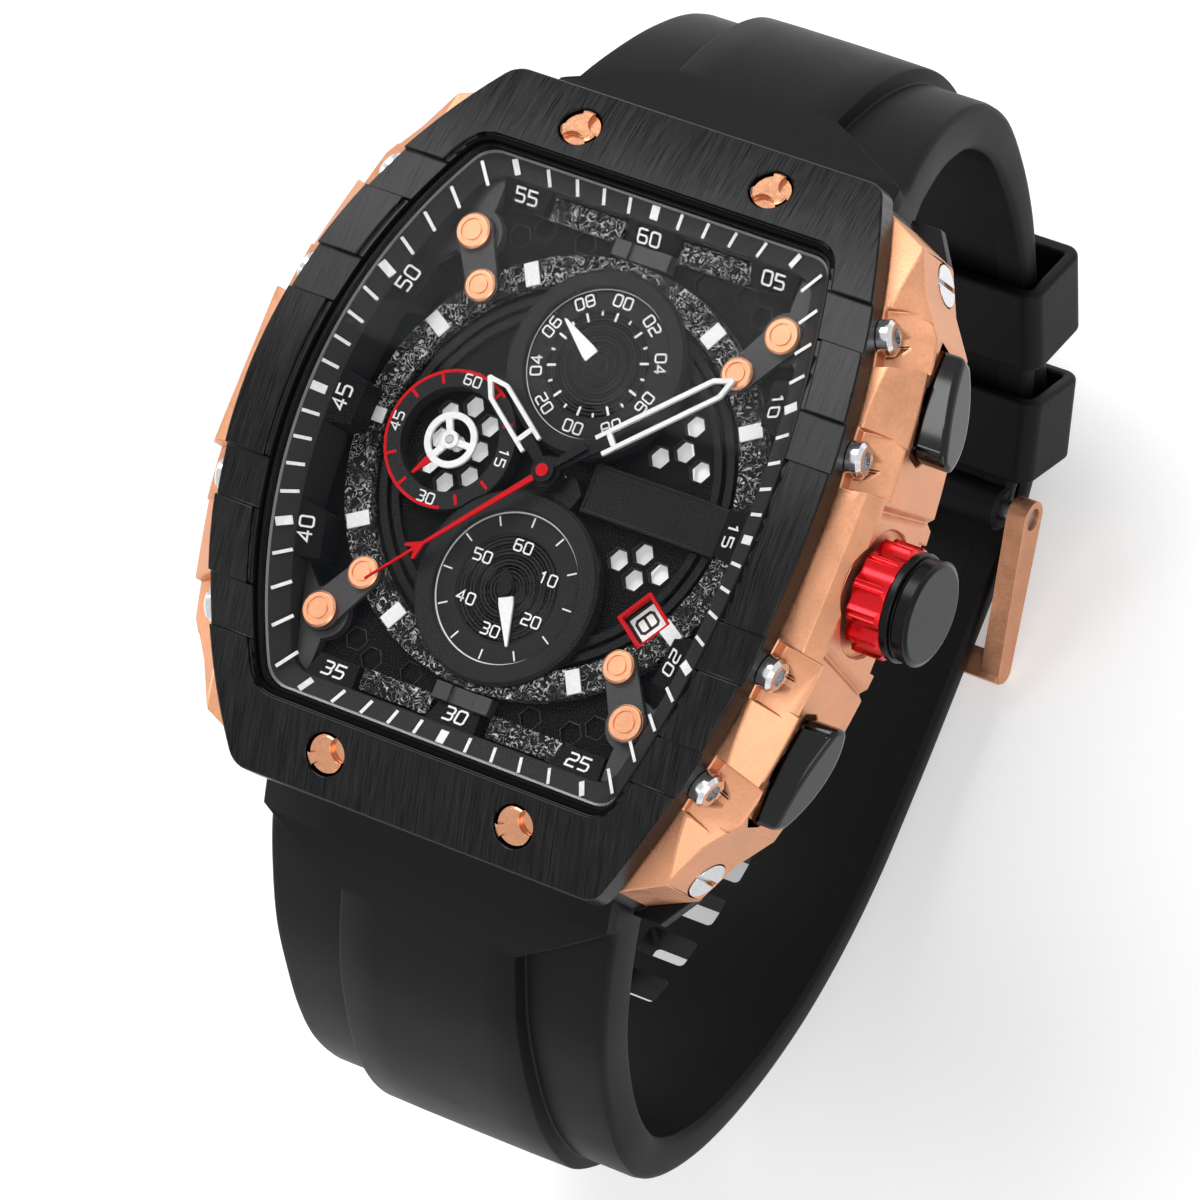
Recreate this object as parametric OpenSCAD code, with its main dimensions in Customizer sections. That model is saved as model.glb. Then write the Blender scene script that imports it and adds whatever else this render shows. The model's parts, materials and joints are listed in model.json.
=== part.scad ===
// Tonneau chronograph wristwatch on a buckled rubber strap.
// Origin: centre of the flat case back. +X to the crown, +Y to 12 o'clock, +Z out of the dial. Millimetres.

/* [Case] */
// half width of the bezel at 3 and 9 o'clock
bezel_half_w = 20.6; // [17:0.1:25]
// half length of the bezel from the centre to the 12 o'clock edge
bezel_half_l = 24.4; // [20:0.1:30]
// plan radius of the long barrel-shaped sides
side_r = 46.8; // [35:0.1:80]
// height of the bezel's crest above the case back
top_z = 14.5; // [12:0.1:18]
// radius of the arch of the case from 12 to 6 o'clock
arch_r = 56; // [40:0.5:120]
// thickness of the bezel
bezel_t = 1.85; // [1.2:0.05:3]
// plan radius of the bezel's corners
bezel_corner_r = 1.6; // [0.5:0.1:5]
// width of the bezel's side rails at 3 and 9 o'clock
rail_w = 3.45; // [2.5:0.05:5]
// width of the bezel's ends at 12 and 6 o'clock
end_w = 5.35; // [4:0.05:8]
// plan radius of the opening's corners
open_corner_r = 1.8; // [0.5:0.1:5]
// how far the middle case stands in from the bezel's edge
case_inset = 0.3; // [0:0.05:1]
// height of the middle case's underside
case_z = 1.3; // [0.6:0.05:3]
// radius of the movement cavity
cavity_r = 15.6; // [12:0.1:17]
// clearance between seated case parts
seat = 0.04; // [0.02:0.01:0.1]
// half width of the case back
back_half_w = 16.6; // [16:0.05:19]
// half length of the case back
back_half_l = 17.3; // [16.5:0.05:17.5]
// place of a back screw along the case
back_screw_y = 15.6; // [14:0.05:15.8]

/* [Bezel details] */
// distance of a bezel screw from the centre line
bezel_screw_x = 7.15; // [4:0.05:12]
// distance of a bezel screw from the 3 to 9 o'clock line
bezel_screw_y = 21.75; // [20:0.05:24]
// head radius of a bezel screw
bezel_screw_r = 1.3; // [0.8:0.05:2]
// place of the inner side screws along the case
side_y1 = 7.1; // [5:0.05:9]
// place of the outer side screws along the case
side_y2 = 15.05; // [12:0.05:17]
// width of a recessed band on the bezel's side rail
band_w = 3.3; // [1:0.1:5]
// depth of a recessed band
band_d = 0.36; // [0.1:0.01:0.5]

/* [Side plates] */
// how far the side plates stand out past the bezel at 3 o'clock
plate_out = 2.5; // [1.8:0.05:4]
// plan radius of the plate's outer wall
plate_r = 60; // [50:1:300]
// height of the plate's lower edge
plate_z = 2.4; // [1:0.1:5]
// how far the plate's upper edge lies under the bezel's top
plate_drop = 2.1; // [1:0.05:4]
// how far the plate's tip stays short of the bezel's end
plate_short = 1.3; // [0.5:0.1:4]
// turn of the lug's outer facet towards the strap
lug_turn = 27; // [10:1:40]
// head radius of a side screw
side_screw_r = 1.2; // [0.8:0.05:1.8]
// depth of a side screw's axis under the bezel's top
side_screw_drop = 2.55; // [2.5:0.05:4]
// width of the pocket round a side screw
pocket_w = 4; // [3:0.1:5]
// fall of the pocket's floor towards the outside
pocket_fall = 22; // [5:1:45]

/* [Crown and pushers] */
// height of the crown's axis
crown_z = 7.1; // [5:0.05:9]
// radius of the crown's fluted grip
crown_r = 3.75; // [2.5:0.05:5]
// length of the fluted grip
grip_l = 2.3; // [1:0.1:4]
// number of flutes on the grip
grip_flutes = 12; // [6:1:24]
// radius of the crown's end cap
cap_r = 3.4; // [2:0.05:5]
// length of the end cap
cap_l = 1.9; // [1:0.1:4]
// radius of the crown's stem
stem_r = 0.55; // [0.4:0.05:0.8]
// distance the crown pulls out
crown_pull = 1.5; // [0.5:0.1:2.5]
// place of a pusher along the case
push_y = 12.3; // [9:0.1:14]
// height of a pusher's axis
push_z = 7; // [5:0.1:9]
// length of a pusher's head
push_l = 8.3; // [6:0.1:10]
// height of a pusher's head
push_h = 3.3; // [2:0.1:5]
// how far a pusher's face stands out past the plate
push_out = 1.9; // [1.2:0.05:3]
// turn of a pusher's face towards the lug
push_turn = 18; // [0:1:25]
// distance a pusher travels
push_travel = 0.9; // [0.4:0.1:1.5]
// radius of a pusher's shank
shank_r = 0.9; // [0.6:0.05:1.5]

/* [Dial] */
// width of the printed flange round the dial
flange_w = 1.85; // [1.4:0.05:2]
// height of the dial plate's upper face
dial_z = 8.3; // [7:0.1:10]
// thickness of the dial plate
dial_t = 0.5; // [0.3:0.05:1]
// height of the small dials' rims
sub_z = 9.6; // [8.5:0.1:11]
// distance of the small dials from the centre
sub_d = 7.71; // [6:0.01:9]
// rim radius of the 12 o'clock small dial
sub12_r = 6.2; // [4:0.05:6.6]
// rim radius of the 6 o'clock small dial
sub6_r = 6.4; // [4:0.05:6.6]
// rim radius of the 9 o'clock small dial
sub9_r = 4.66; // [3:0.05:5]
// outer radius of the hour ring
ring_ro = 14.6; // [13:0.1:15.4]
// inner radius of the hour ring
ring_ri = 12.7; // [11:0.1:13.5]
// height of the hour ring's face
ring_z = 9.1; // [8.6:0.05:10]
// cell pitch of the open lattice
cell_p = 1.75; // [1.2:0.05:3]
// bore radius in the hubs of the hands
arbor_r = 0.25; // [0.15:0.01:0.5]
// running clearance of shafts and tubes
run = 0.05; // [0.02:0.01:0.1]

/* [Strap] */
// diameter of the steel bars that hold the strap
bar_d = 1.6; // [1.2:0.05:2.5]
// distance of a strap bar from the centre
bar_y = 20.3; // [19:0.05:22]
// height of a strap bar
bar_z = 4; // [2.5:0.05:5]
// width of a tail slot
slot_w = 5; // [3:0.1:7]
// length of a tail slot along the strap
slot_l = 3; // [1.5:0.1:4]
// number of tail slots
slot_n = 10; // [3:1:12]
// wall of a keeper
keeper_t = 0.95; // [0.6:0.05:2]
// clearance between a keeper and the straps in it
keeper_gap = 0.25; // [0.1:0.05:0.6]

/* [Buckle] */
// place of the buckle pin along the case
pin_y = 12.5; // [8:0.1:18]
// height of the buckle pin
pin_z = -35.5; // [-45:0.1:-30]
// radius of the buckle pin
pin_r = 0.75; // [0.5:0.05:1.2]
// half width of the buckle over its arms
buckle_half_w = 12.7; // [11:0.1:15]
// thickness of a buckle arm
arm_t = 1.45; // [0.8:0.05:2.5]
// width of the buckle's arm seen from the side
arm_h = 2.6; // [1.5:0.1:4]
// place of the cross bar along the case
cross_y = 2.5; // [-2:0.1:8]
// height of the cross bar
cross_z = -40.75; // [-45:0.05:-35]

/* [Hidden] */
$fn = 96;
case_half_w = bezel_half_w - case_inset;
case_half_l = bezel_half_l - 0.7;
open_half_w = bezel_half_w - rail_w;
open_half_l = bezel_half_l - end_w;
plate_half_w = bezel_half_w + plate_out;
plate_half_l = bezel_half_l - plate_short;
shelf_z = dial_z - dial_t;
crown_x = plate_half_w - 0.1;
stem_x = open_half_w - 2.15 - crown_pull;
lug_x = plate_half_w - 4.9;
bar_half = lug_x - 1.45;
push_x = plate_half_w - plate_r + sqrt(plate_r * plate_r - push_y * push_y) + push_out;
push_depth = push_out + 0.25;
tube_x = open_half_w + 0.6;
side_shank = rail_w - 1.2;
axis_z = top_z - arch_r;
black = [0.05, 0.05, 0.055];
satin = [0.16, 0.16, 0.17];
rose = [0.86, 0.52, 0.38];
steel = [0.72, 0.73, 0.75];
white = [0.93, 0.93, 0.92];
red = [0.75, 0.03, 0.04];
rubber = [0.07, 0.07, 0.075];
side_ys = [side_y1, side_y2, -side_y1, -side_y2];
// strap stations: along, height, half width, thickness, ledge depth, ridge half width
strap12 = [[22.2, 4.7, 13.2, 3.4, 1.0, 11.5], [23.6, 4.2, 13.2, 3.6, 1.0, 11.2],
    [27.6, 1.9, 12.3, 3.5, 1.0, 8.4], [31.4, -1.7, 11.5, 3.4, 1.0, 6.4],
    [33.9, -6.2, 11.1, 3.2, 1.0, 6.2], [34.4, -11.4, 10.9, 3.0, 0.9, 6.2],
    [32.9, -16.4, 10.8, 2.7, 0.7, 6.2], [30.5, -21.0, 10.8, 2.3, 0.3, 6.2],
    [27.5, -25.4, 10.7, 1.9, 0, 6.2], [24.45, -29.3, 10.6, 1.8, 0, 6.2],
    [20.5, -32.9, 10.5, 1.7, 0, 6.2], [16.3, -35.7, 10.5, 1.5, 0, 6.2], [pin_y, -36.6, 10.5, 1.6, 0, 6.2]];
strap6 = [[-22.2, 4.7, 13.3, 3.4, 1.0, 11.4], [-23.2, 4.35, 13.3, 3.6, 1.0, 11.2],
    [-26.6, 2.5, 13.2, 3.6, 1.0, 9.8], [-29.8, 0.0, 13.0, 3.5, 1.0, 6.8],
    [-32.7, -2.8, 12.8, 3.4, 1.0, 6.4], [-35.1, -6.0, 12.6, 3.3, 1.0, 6.3],
    [-37.2, -9.5, 12.5, 3.2, 1.0, 6.2], [-38.7, -13.2, 12.4, 3.1, 1.0, 6.2],
    [-39.3, -17.2, 12.2, 3.0, 1.0, 6.2], [-38.5, -21.1, 12.0, 2.9, 0.9, 6.2],
    [-36.7, -24.7, 11.8, 2.8, 0.8, 6.2], [-34.3, -27.9, 11.6, 2.7, 0.7, 6.2],
    [-31.4, -30.8, 11.4, 2.6, 0.6, 6.2], [-28.3, -33.3, 11.2, 2.5, 0.5, 6.2],
    [-24.9, -35.5, 11.0, 2.4, 0.4, 6.2], [-21.2, -37.3, 10.8, 2.3, 0.2, 6.2],
    [-17.4, -38.7, 10.6, 2.2, 0, 6.2], [-13.4, -39.5, 10.5, 2.1, 0, 6.2],
    [-9.5, -39.9, 10.4, 2.1, 0, 6.2], [-5.4, -40.0, 10.4, 2.0, 0, 6.2],
    [-1.4, -40.0, 10.4, 2.0, 0, 6.2], [2.6, -39.95, 10.4, 2.0, 0, 6.2],
    [6.7, -39.9, 10.4, 2.0, 0, 6.2], [10.7, -39.75, 10.4, 1.9, 0, 6.2],
    [14.7, -39.0, 10.4, 1.8, 0, 6.2], [18.4, -37.4, 10.4, 1.7, 0, 6.2],
    [21.7, -35.0, 10.3, 1.7, 0, 6.2], [24.7, -32.2, 9.6, 1.7, 0, 5.5], [27.5, -29.2, 8.2, 1.6, 0, 4.6],
    [29.8, -26.1, 5.6, 1.5, 0, 3]];

// shared forms
module barrel(hw, hl, z0, z1) {
    intersection() {
        translate([hw - side_r, 0, z0]) cylinder(r = side_r, h = z1 - z0, $fn = 360);
        translate([side_r - hw, 0, z0]) cylinder(r = side_r, h = z1 - z0, $fn = 360);
        translate([-hw - 1, -hl, z0]) cube([2 * hw + 2, 2 * hl, z1 - z0]);
    }
}

// barrel outline whose four corners are rounded to about radius r by five flats
module rbarrel(hw, hl, r, z0, z1) {
    cx = hw - side_r + sqrt(pow(side_r - r, 2) - pow(hl - r, 2));
    a0 = asin((hl - r) / (side_r - r));
    arc = [for (i = [0 : 5]) [cx + r * cos(lerp(a0, 90, i / 5)), hl - r + r * sin(lerp(a0, 90, i / 5))]];
    first = arc[0] + (arc[0] - arc[1]) * 0.9;
    last = arc[5] + (arc[5] - arc[4]) * 0.9;
    difference() {
        barrel(hw, hl, z0, z1);
        for (sx = [0, 1], sy = [0, 1]) mirror([sx, 0, 0]) mirror([0, sy, 0]) translate([0, 0, z0 - 1])
            linear_extrude(z1 - z0 + 2) polygon([first, arc[1], arc[2], arc[3], arc[4], last,
                [last[0], hl + 2], [first[0] + 3, hl + 2], [first[0] + 3, first[1]]]);
    }
}

// everything that lies lower than the bezel's top by "drop" or more
module under_arch(drop) {
    translate([-32, 0, axis_z]) rotate([0, 90, 0]) cylinder(r = arch_r - drop, h = 64, $fn = 360);
}

function arch_z(y, drop = 0) = axis_z + sqrt(pow(arch_r - drop, 2) - y * y);
function arch_a(y) = asin(y / arch_r);
function outline_x(hw, r, y) = hw - r + sqrt(r * r - y * y);
back_screw_x = outline_x(back_half_w, side_r, back_screw_y) - 1.55;

// stands a child on the arch at x, y with its +Z along the arch's normal
module on_arch(x, y, drop = 0) {
    translate([x, (arch_r - drop) * sin(arch_a(y)), axis_z + (arch_r - drop) * cos(arch_a(y))])
        rotate([-arch_a(y), 0, 0]) children();
}

// stands a child on the bezel's side wall at y with its +Z along the wall's normal
module on_wall(y, drop) {
    translate([bezel_half_w - side_r, 0, arch_z(y) - drop]) rotate([0, 0, asin(y / side_r)])
        translate([side_r, 0, 0]) rotate([0, 90, 0]) children();
}

module along_x(x, y, z) {
    translate([x, y, z]) rotate([0, 90, 0]) children();
}

// case
module bezel() {
    color(black) difference() {
        intersection() {
            rbarrel(bezel_half_w, bezel_half_l, bezel_corner_r, 3, top_z + 1);
            under_arch(0);
        }
        under_arch(bezel_t);
        rbarrel(open_half_w, open_half_l, open_corner_r, 2, top_z + 2);
        difference() {
            rbarrel(open_half_w + 0.45, open_half_l + 0.45, open_corner_r + 0.45, 2, top_z + 2);
            under_arch(0.3);
        }
        for (y = side_ys, s = [-1, 1]) bezel_band(s, y);
        for (x = [-1, 1], y = [-1, 1]) on_arch(x * bezel_screw_x, y * bezel_screw_y) {
            translate([0, 0, -0.9]) cylinder(r = bezel_screw_r + 0.15, h = 2);
            translate([0, 0, -3]) cylinder(r = 0.62, h = 4);
        }
    }
}

module bezel_band(s, y) {
    on_arch(s * (bezel_half_w - 1.6), y, band_d)
        translate([-5, -band_w / 2, 0]) cube([10, band_w, 2]);
}

module mid_case() {
    color(black) difference() {
        union() {
            intersection() {
                rbarrel(case_half_w, case_half_l, bezel_corner_r, case_z, top_z);
                under_arch(bezel_t + seat);
            }
            for (sx = [0, 1], sy = [0, 1]) mirror([sx, 0, 0]) mirror([0, sy, 0]) lug_horn();
        }
        rbarrel(open_half_w + 0.45, open_half_l + 0.45, open_corner_r, shelf_z, top_z + 1);
        translate([0, 0, case_z - 1]) cylinder(r = cavity_r, h = shelf_z - case_z + 2);
        for (s = [0, 1]) mirror([0, s, 0]) strap_recess();
        case_holes();
    }
}

module lug_horn() {
    translate([13.2, 0, case_z]) difference() {
        translate([0, 17.5, 0]) cube([4, 6.4, plate_z - case_z - 0.1]);
        translate([4, 21.5, -1]) rotate([0, 0, 35]) cube([3, 6, 5]);
    }
}

module strap_recess() {
    translate([-13.45, 17.7, 0]) cube([26.9, 10, 5.75]);
}

module case_holes() {
    along_x(cavity_r - 1, 0, crown_z) cylinder(r = stem_r + run, h = 8);
    along_x(tube_x, 0, crown_z) cylinder(r = stem_r + 1.1, h = 8);
    for (s = [-1, 1]) {
        along_x(9, s * push_y, push_z) cylinder(r = shank_r / 2 + 0.08, h = 10);
        along_x(tube_x - 1.1, s * push_y, push_z) cylinder(r = shank_r + 0.75, h = 10);
    }
    for (y = side_ys, s = [0, 1]) mirror([s, 0, 0])
        on_wall(y, side_screw_drop) translate([0, 0, -3.2]) cylinder(r = 0.62, h = 8);
    for (y = [-1, 1]) along_x(-20, y * bar_y, bar_z) cylinder(d = bar_d + 2 * run, h = 40);
    for (x = [-1, 1], y = [-1, 1]) {
        translate([x * back_screw_x, y * back_screw_y, case_z - 1]) cylinder(r = 0.5, h = 3.6);
        on_arch(x * bezel_screw_x, y * bezel_screw_y) translate([0, 0, -3.3]) cylinder(r = 0.62, h = 4);
    }
}

module case_back() {
    color(satin) difference() {
        union() {
            intersection() {
                rbarrel(back_half_w, back_half_l, 3, 0, case_z - seat);
                translate([0, 0, -1]) cylinder(r1 = 21.4, r2 = 23.6, h = 3);
            }
            translate([0, 0, case_z - seat - 0.2]) cylinder(r = cavity_r - 0.1, h = 0.9);
        }
        for (x = [-1, 1], y = [-1, 1]) translate([x * back_screw_x, y * back_screw_y, -1]) {
            cylinder(r = 0.55, h = 4);
            cylinder(r = 1.05, h = 1.6);
        }
        translate([0, 0, -0.01]) difference() {
            cylinder(r = 12.2, h = 0.21);
            translate([0, 0, -1]) cylinder(r = 11.6, h = 3);
        }
        translate([0, 0, case_z - seat + 0.15]) difference() {
            cylinder(r = cavity_r + 1, h = 0.36);
            translate([0, 0, -1]) cylinder(r = cavity_r - 0.6, h = 3);
        }
    }
}

module back_gasket() {
    color(rubber) translate([0, 0, case_z - seat + 0.17]) difference() {
        cylinder(r = cavity_r - 0.05, h = 0.32);
        translate([0, 0, -1]) cylinder(r = cavity_r - 0.55, h = 3);
    }
}

module crystal() {
    color([0.9, 0.93, 0.96, 0.15]) intersection() {
        rbarrel(open_half_w - 0.3, open_half_l - 0.3, open_corner_r - 0.3, 3, top_z);
        difference() {
            under_arch(0.45);
            under_arch(bezel_t);
        }
    }
}

module crystal_gasket() {
    color([0.3, 0.3, 0.31]) difference() {
        intersection() {
            rbarrel(open_half_w - 0.03, open_half_l - 0.03, open_corner_r - 0.03, 3, top_z);
            under_arch(0.75);
        }
        rbarrel(open_half_w - 0.27, open_half_l - 0.27, open_corner_r - 0.27, 2, top_z + 1);
        under_arch(bezel_t);
    }
}

module flange_ring() {
    color(satin) difference() {
        intersection() {
            rbarrel(open_half_w + 0.4, open_half_l + 0.4, open_corner_r, dial_z, top_z);
            under_arch(bezel_t + 0.3);
        }
        difference() {
            rbarrel(open_half_w - flange_w, open_half_l - flange_w, open_corner_r, 2, top_z + 1);
            for (p = tabs()) translate([p[0] - 1.7, p[1] - 1.7, 0]) cube([3.4, 3.4, 30]);
        }
    }
}

function tabs() = [[0, 17.6], [9.3, 17.6], [-9.3, 17.6], [0, -17.6], [9.3, -17.6], [-9.3, -17.6],
    [16.45, 0], [-16.45, 0], [15.1, 8.7], [-15.1, 8.7], [15.1, -8.7], [-15.1, -8.7]];

// side plates
module above_plane(p, rx, ry, y0, y1) {
    intersection() {
        translate([-30, y0, -10]) cube([60, y1 - y0, 50]);
        translate(p) rotate([rx, ry, 0]) translate([-20, -20, 0]) cube([40, 40, 20]);
    }
}

module side_plate_blank() {
    difference() {
        intersection() {
            translate([plate_half_w - plate_r, 0, plate_z]) cylinder(r = plate_r, h = 20, $fn = 360);
            under_arch(plate_drop);
            translate([5, -plate_half_l, plate_z]) cube([30, 2 * plate_half_l, 20]);
        }
        translate([0, 0, -1]) barrel(case_half_w + seat, 40, 0, 30);
        translate([-10, -40, 0]) cube([23, 80, 30]);
    }
}

module side_plate(working) {
    w1 = plate_half_w;
    difference() {
        side_plate_blank();
        above_plane([w1 - 1.9, 0, arch_z(0, plate_drop) - 0.1], 0, 12, -5, 5);
        above_plane([w1 - 0.5, 0, arch_z(0, plate_drop) - 1.0], 0, 58, -5, 5);
        for (s = [0, 1]) mirror([0, s, 0]) {
            above_plane([w1 - 3.3, 11, arch_z(11, plate_drop) - 0.05], -11.5, 42, 9, 13.3);
            above_plane([w1 - 5.2, 17.3, arch_z(17.3, plate_drop) - 0.1], -18.5, 34, 17.2, 25);
            for (y = [side_y1, side_y2]) screw_pocket(y);
            lug_facet();
            translate([0, 5.1, 0]) groove();
        }
        if (working) {
            along_x(w1 - 0.5, 0, crown_z) cylinder(r = crown_r + 0.45, h = 6);
            along_x(10, 0, crown_z) cylinder(r = stem_r + 1.1, h = 20);
            translate([w1 - 0.5, -4.4, 0]) cube([6, 8.8, plate_z + 1.2]);
            for (s = [0, 1]) mirror([0, s, 0]) {
                along_x(10, push_y, push_z) cylinder(r = shank_r + 0.75, h = 20);
                push_place() push_head(0.25, push_turn, push_x - push_depth - push_travel - 0.2, 8);
            }
        }
        for (y = [-1, 1]) along_x(10, y * bar_y, bar_z) cylinder(d = bar_d + 2 * run, h = 20);
        for (y = [-1, 1]) on_lug(y) translate([0, 0, -0.9]) cylinder(r = 1.45, h = 6);
    }
}

// pocket round a side screw: a flat land behind the head, then a floor that falls away outward
module screw_pocket(y) {
    on_wall(y, side_screw_drop) {
        translate([0, 0, -side_shank - 0.2]) cylinder(r = 0.62, h = side_shank + 16);
        translate([0, 0, 0.02]) cylinder(r = side_screw_r + 0.15, h = 12);
        translate([-8, -pocket_w / 2, 0.02]) cube([8 + side_screw_r * 0.6, pocket_w, 8]);
        translate([side_screw_r * 0.6, 0, 0.02]) rotate([0, pocket_fall, 0])
            translate([-5, -pocket_w / 2, 0]) cube([5, pocket_w, 8]);
    }
}

// the lug steps in from the wall, then runs in towards the strap by a turned facet
module lug_facet() {
    c = cos(lug_turn);
    s = sin(lug_turn);
    p = [lug_x, bar_y];
    a = p - 1.75 * [-s, c];
    b = p + 1.5 * [-s, c];
    translate([0, 0, -1]) linear_extrude(30) polygon([[outline_x(plate_half_w, plate_r, 16.4) + 0.01, 16.4],
        a, b, [13.6, plate_half_l + 0.3], [13.6, 40], [40, 40], [40, 16.4]]);
}

// slanting groove beside the crown
module groove() {
    translate([plate_half_w - 0.05, 0, crown_z + 0.5]) rotate([8, 0, 0]) rotate([0, 0, 45])
        translate([-0.45, -0.45, -5.4]) cube([0.9, 0.9, 8.2]);
}

// stands a child on the lug's outer facet at the strap bar, +Z outward
module on_lug(s) {
    mirror([0, s < 0 ? 1 : 0, 0]) translate([lug_x, bar_y, bar_z]) rotate([0, 0, lug_turn])
        rotate([0, 90, 0]) children();
}

module side_plate_right() {
    color(rose) side_plate(true);
}

module side_plate_left() {
    color(rose) mirror([1, 0, 0]) side_plate(false);
}

// screws
module bezel_screws() {
    color(rose) for (x = [-1, 1], y = [-1, 1]) on_arch(x * bezel_screw_x, y * bezel_screw_y) bezel_screw();
}

module bezel_screw() {
    difference() {
        union() {
            translate([0, 0, -0.88]) cylinder(r = bezel_screw_r, h = 0.83);
            translate([0, 0, -0.06]) cylinder(r1 = bezel_screw_r, r2 = bezel_screw_r - 0.12, h = 0.12);
            translate([0, 0, -2.9]) cylinder(r = 0.6, h = 2.1);
        }
        for (a = [30, 150, 270]) rotate([0, 0, a]) translate([1.45, 0, -0.32]) cylinder(r = 0.95, h = 1);
    }
}

module side_screws() {
    color(steel) for (y = side_ys, s = [0, 1]) mirror([s, 0, 0]) side_screw(y);
}

module side_screw(y) {
    on_wall(y, side_screw_drop) translate([0, 0, seat]) difference() {
        union() {
            cylinder(r = side_screw_r, h = 0.75);
            translate([0, 0, 0.74]) cylinder(r1 = side_screw_r, r2 = side_screw_r - 0.25, h = 0.25);
            translate([0, 0, -side_shank]) cylinder(r = 0.6, h = side_shank + 0.1);
        }
        translate([0, 0, 0.45]) cylinder(r = 0.66, h = 2, $fn = 6);
    }
}

module lug_screws() {
    color(steel) for (y = [-1, 1], s = [0, 1]) mirror([s, 0, 0]) on_lug(y) difference() {
        translate([0, 0, -0.88]) cylinder(r = 1.38, h = 0.95);
        translate([-2, -0.17, -0.33]) cube([4, 0.34, 2]);
    }
}

module back_screws() {
    color(steel) for (x = [-1, 1], y = [-1, 1]) translate([x * back_screw_x, y * back_screw_y, 0.15])
        difference() {
        union() {
            translate([0, 0, 0.03]) cylinder(r = 0.98, h = 0.42);
            cylinder(r = 0.48, h = 3);
        }
        translate([-1.5, -0.13, -0.5]) cube([3, 0.26, 0.75]);
    }
}

module strap_bars() {
    color(steel) for (y = [-1, 1]) along_x(-bar_half, y * bar_y, bar_z) cylinder(d = bar_d, h = 2 * bar_half);
}

// crown
module crown_tube() {
    color(steel) along_x(tube_x + seat, 0, crown_z) difference() {
        cylinder(r = stem_r + 1.06, h = crown_x - tube_x - 0.15);
        translate([0, 0, -1]) cylinder(r = stem_r + run, h = 12);
    }
}

module crown_stem() {
    color(steel) along_x(stem_x, 0, crown_z) cylinder(r = stem_r, h = crown_x - stem_x + grip_l - 0.3);
}

module crown_grip() {
    color(red) along_x(crown_x, 0, crown_z) difference() {
        union() {
            cylinder(r = crown_r, h = grip_l - 0.3);
            translate([0, 0, grip_l - 0.31]) cylinder(r1 = crown_r, r2 = crown_r - 0.25, h = 0.31);
        }
        for (i = [0 : grip_flutes - 1]) rotate([0, 0, (i + 0.5) * 360 / grip_flutes])
            translate([crown_r + 0.95, 0, -1]) cylinder(r = 1.25, h = grip_l + 2);
        for (i = [0 : grip_flutes - 1]) rotate([0, 0, i * 360 / grip_flutes])
            translate([crown_r + 0.12, 0, -1]) cylinder(r = 0.22, h = grip_l + 2);
        translate([0, 0, -1]) cylinder(r = 2.52, h = grip_l + 2);
    }
}

module crown_cap() {
    color(black) along_x(crown_x, 0, crown_z) difference() {
        union() {
            cylinder(r = 2.5, h = grip_l + 0.1);
            translate([0, 0, grip_l + seat]) cylinder(r = cap_r + 0.2, h = 0.55);
            translate([0, 0, grip_l + 0.5]) cylinder(r = cap_r - 0.2, h = 0.5);
            translate([0, 0, grip_l + 0.8]) cylinder(r = cap_r, h = cap_l - 1.0);
            translate([0, 0, grip_l + cap_l - 0.21]) cylinder(r1 = cap_r, r2 = cap_r - 0.2, h = 0.2);
        }
        translate([0, 0, -1]) cylinder(r = stem_r + run, h = grip_l + 0.8);
    }
}

// pushers
module pusher_upper() {
    color(black) pusher();
}

module pusher_lower() {
    color(black) mirror([0, 1, 0]) pusher();
}

module pusher() {
    along_x(tube_x - 1.0 + push_travel, push_y, push_z) cylinder(r = shank_r, h = push_x - tube_x - 1.2);
    along_x(tube_x - 3.2, push_y, push_z) cylinder(r = shank_r / 2, h = 4);
    push_place() push_head(0, push_turn, push_x - push_depth, 8, push_x);
}

module push_place() {
    translate([0, push_y, push_z]) children();
}

// leaf-shaped head, g larger all round, from x0 outward; its face lies at x1 and is turned by a
module push_head(g, a, x0, l, x1 = 40) {
    h = push_h * 0.62 + g;
    hl = push_l / 2 + g;
    r = (pow(hl, 2) + pow(h, 2)) / (2 * h);
    difference() {
        rotate([-14, 0, 0]) intersection() {
            along_x(x0 - 3, 0, r - h) cylinder(r = r, h = l);
            along_x(x0 - 3, 0, push_h * 0.38 + g - 14) cylinder(r = 14, h = l);
            translate([x0 - 3, 0.45 - hl, -6]) cube([l, 2 * hl - 0.9, 12]);
        }
        translate([x1, 0, 0]) rotate([0, 0, a]) translate([0, -8, -8]) cube([9, 16, 16]);
        translate([x0, 0, 0]) rotate([0, 0, a * 0.6]) translate([-9, -8, -8]) cube([9, 16, 16]);
    }
}

module pusher_tubes() {
    color(steel) for (s = [-1, 1]) along_x(tube_x - 1.1 + seat, s * push_y, push_z) difference() {
        cylinder(r = shank_r + 0.7, h = push_x - push_depth - push_travel - 0.6 - tube_x + 1.1);
        translate([0, 0, -1]) cylinder(r = shank_r + run, h = 12);
    }
}

// movement
module movement() {
    color(steel) difference() {
        translate([0, 0, 2.1]) cylinder(r = 13, h = 4.9);
        translate([-5.2, -4.8, 1]) cylinder(r = 4.9, h = 2.9);
        for (a = [20 : 45 : 335]) rotate([0, 0, a]) translate([11, 0, 1]) cylinder(r = 0.8, h = 1.4);
        for (p = posts()) translate([p[0], p[1], 5.5]) cylinder(r = arbor_r + 0.01, h = 6);
    }
}

function posts() = [[0, 0], [0, sub_d], [0, -sub_d], [-sub_d, 0]];

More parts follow.
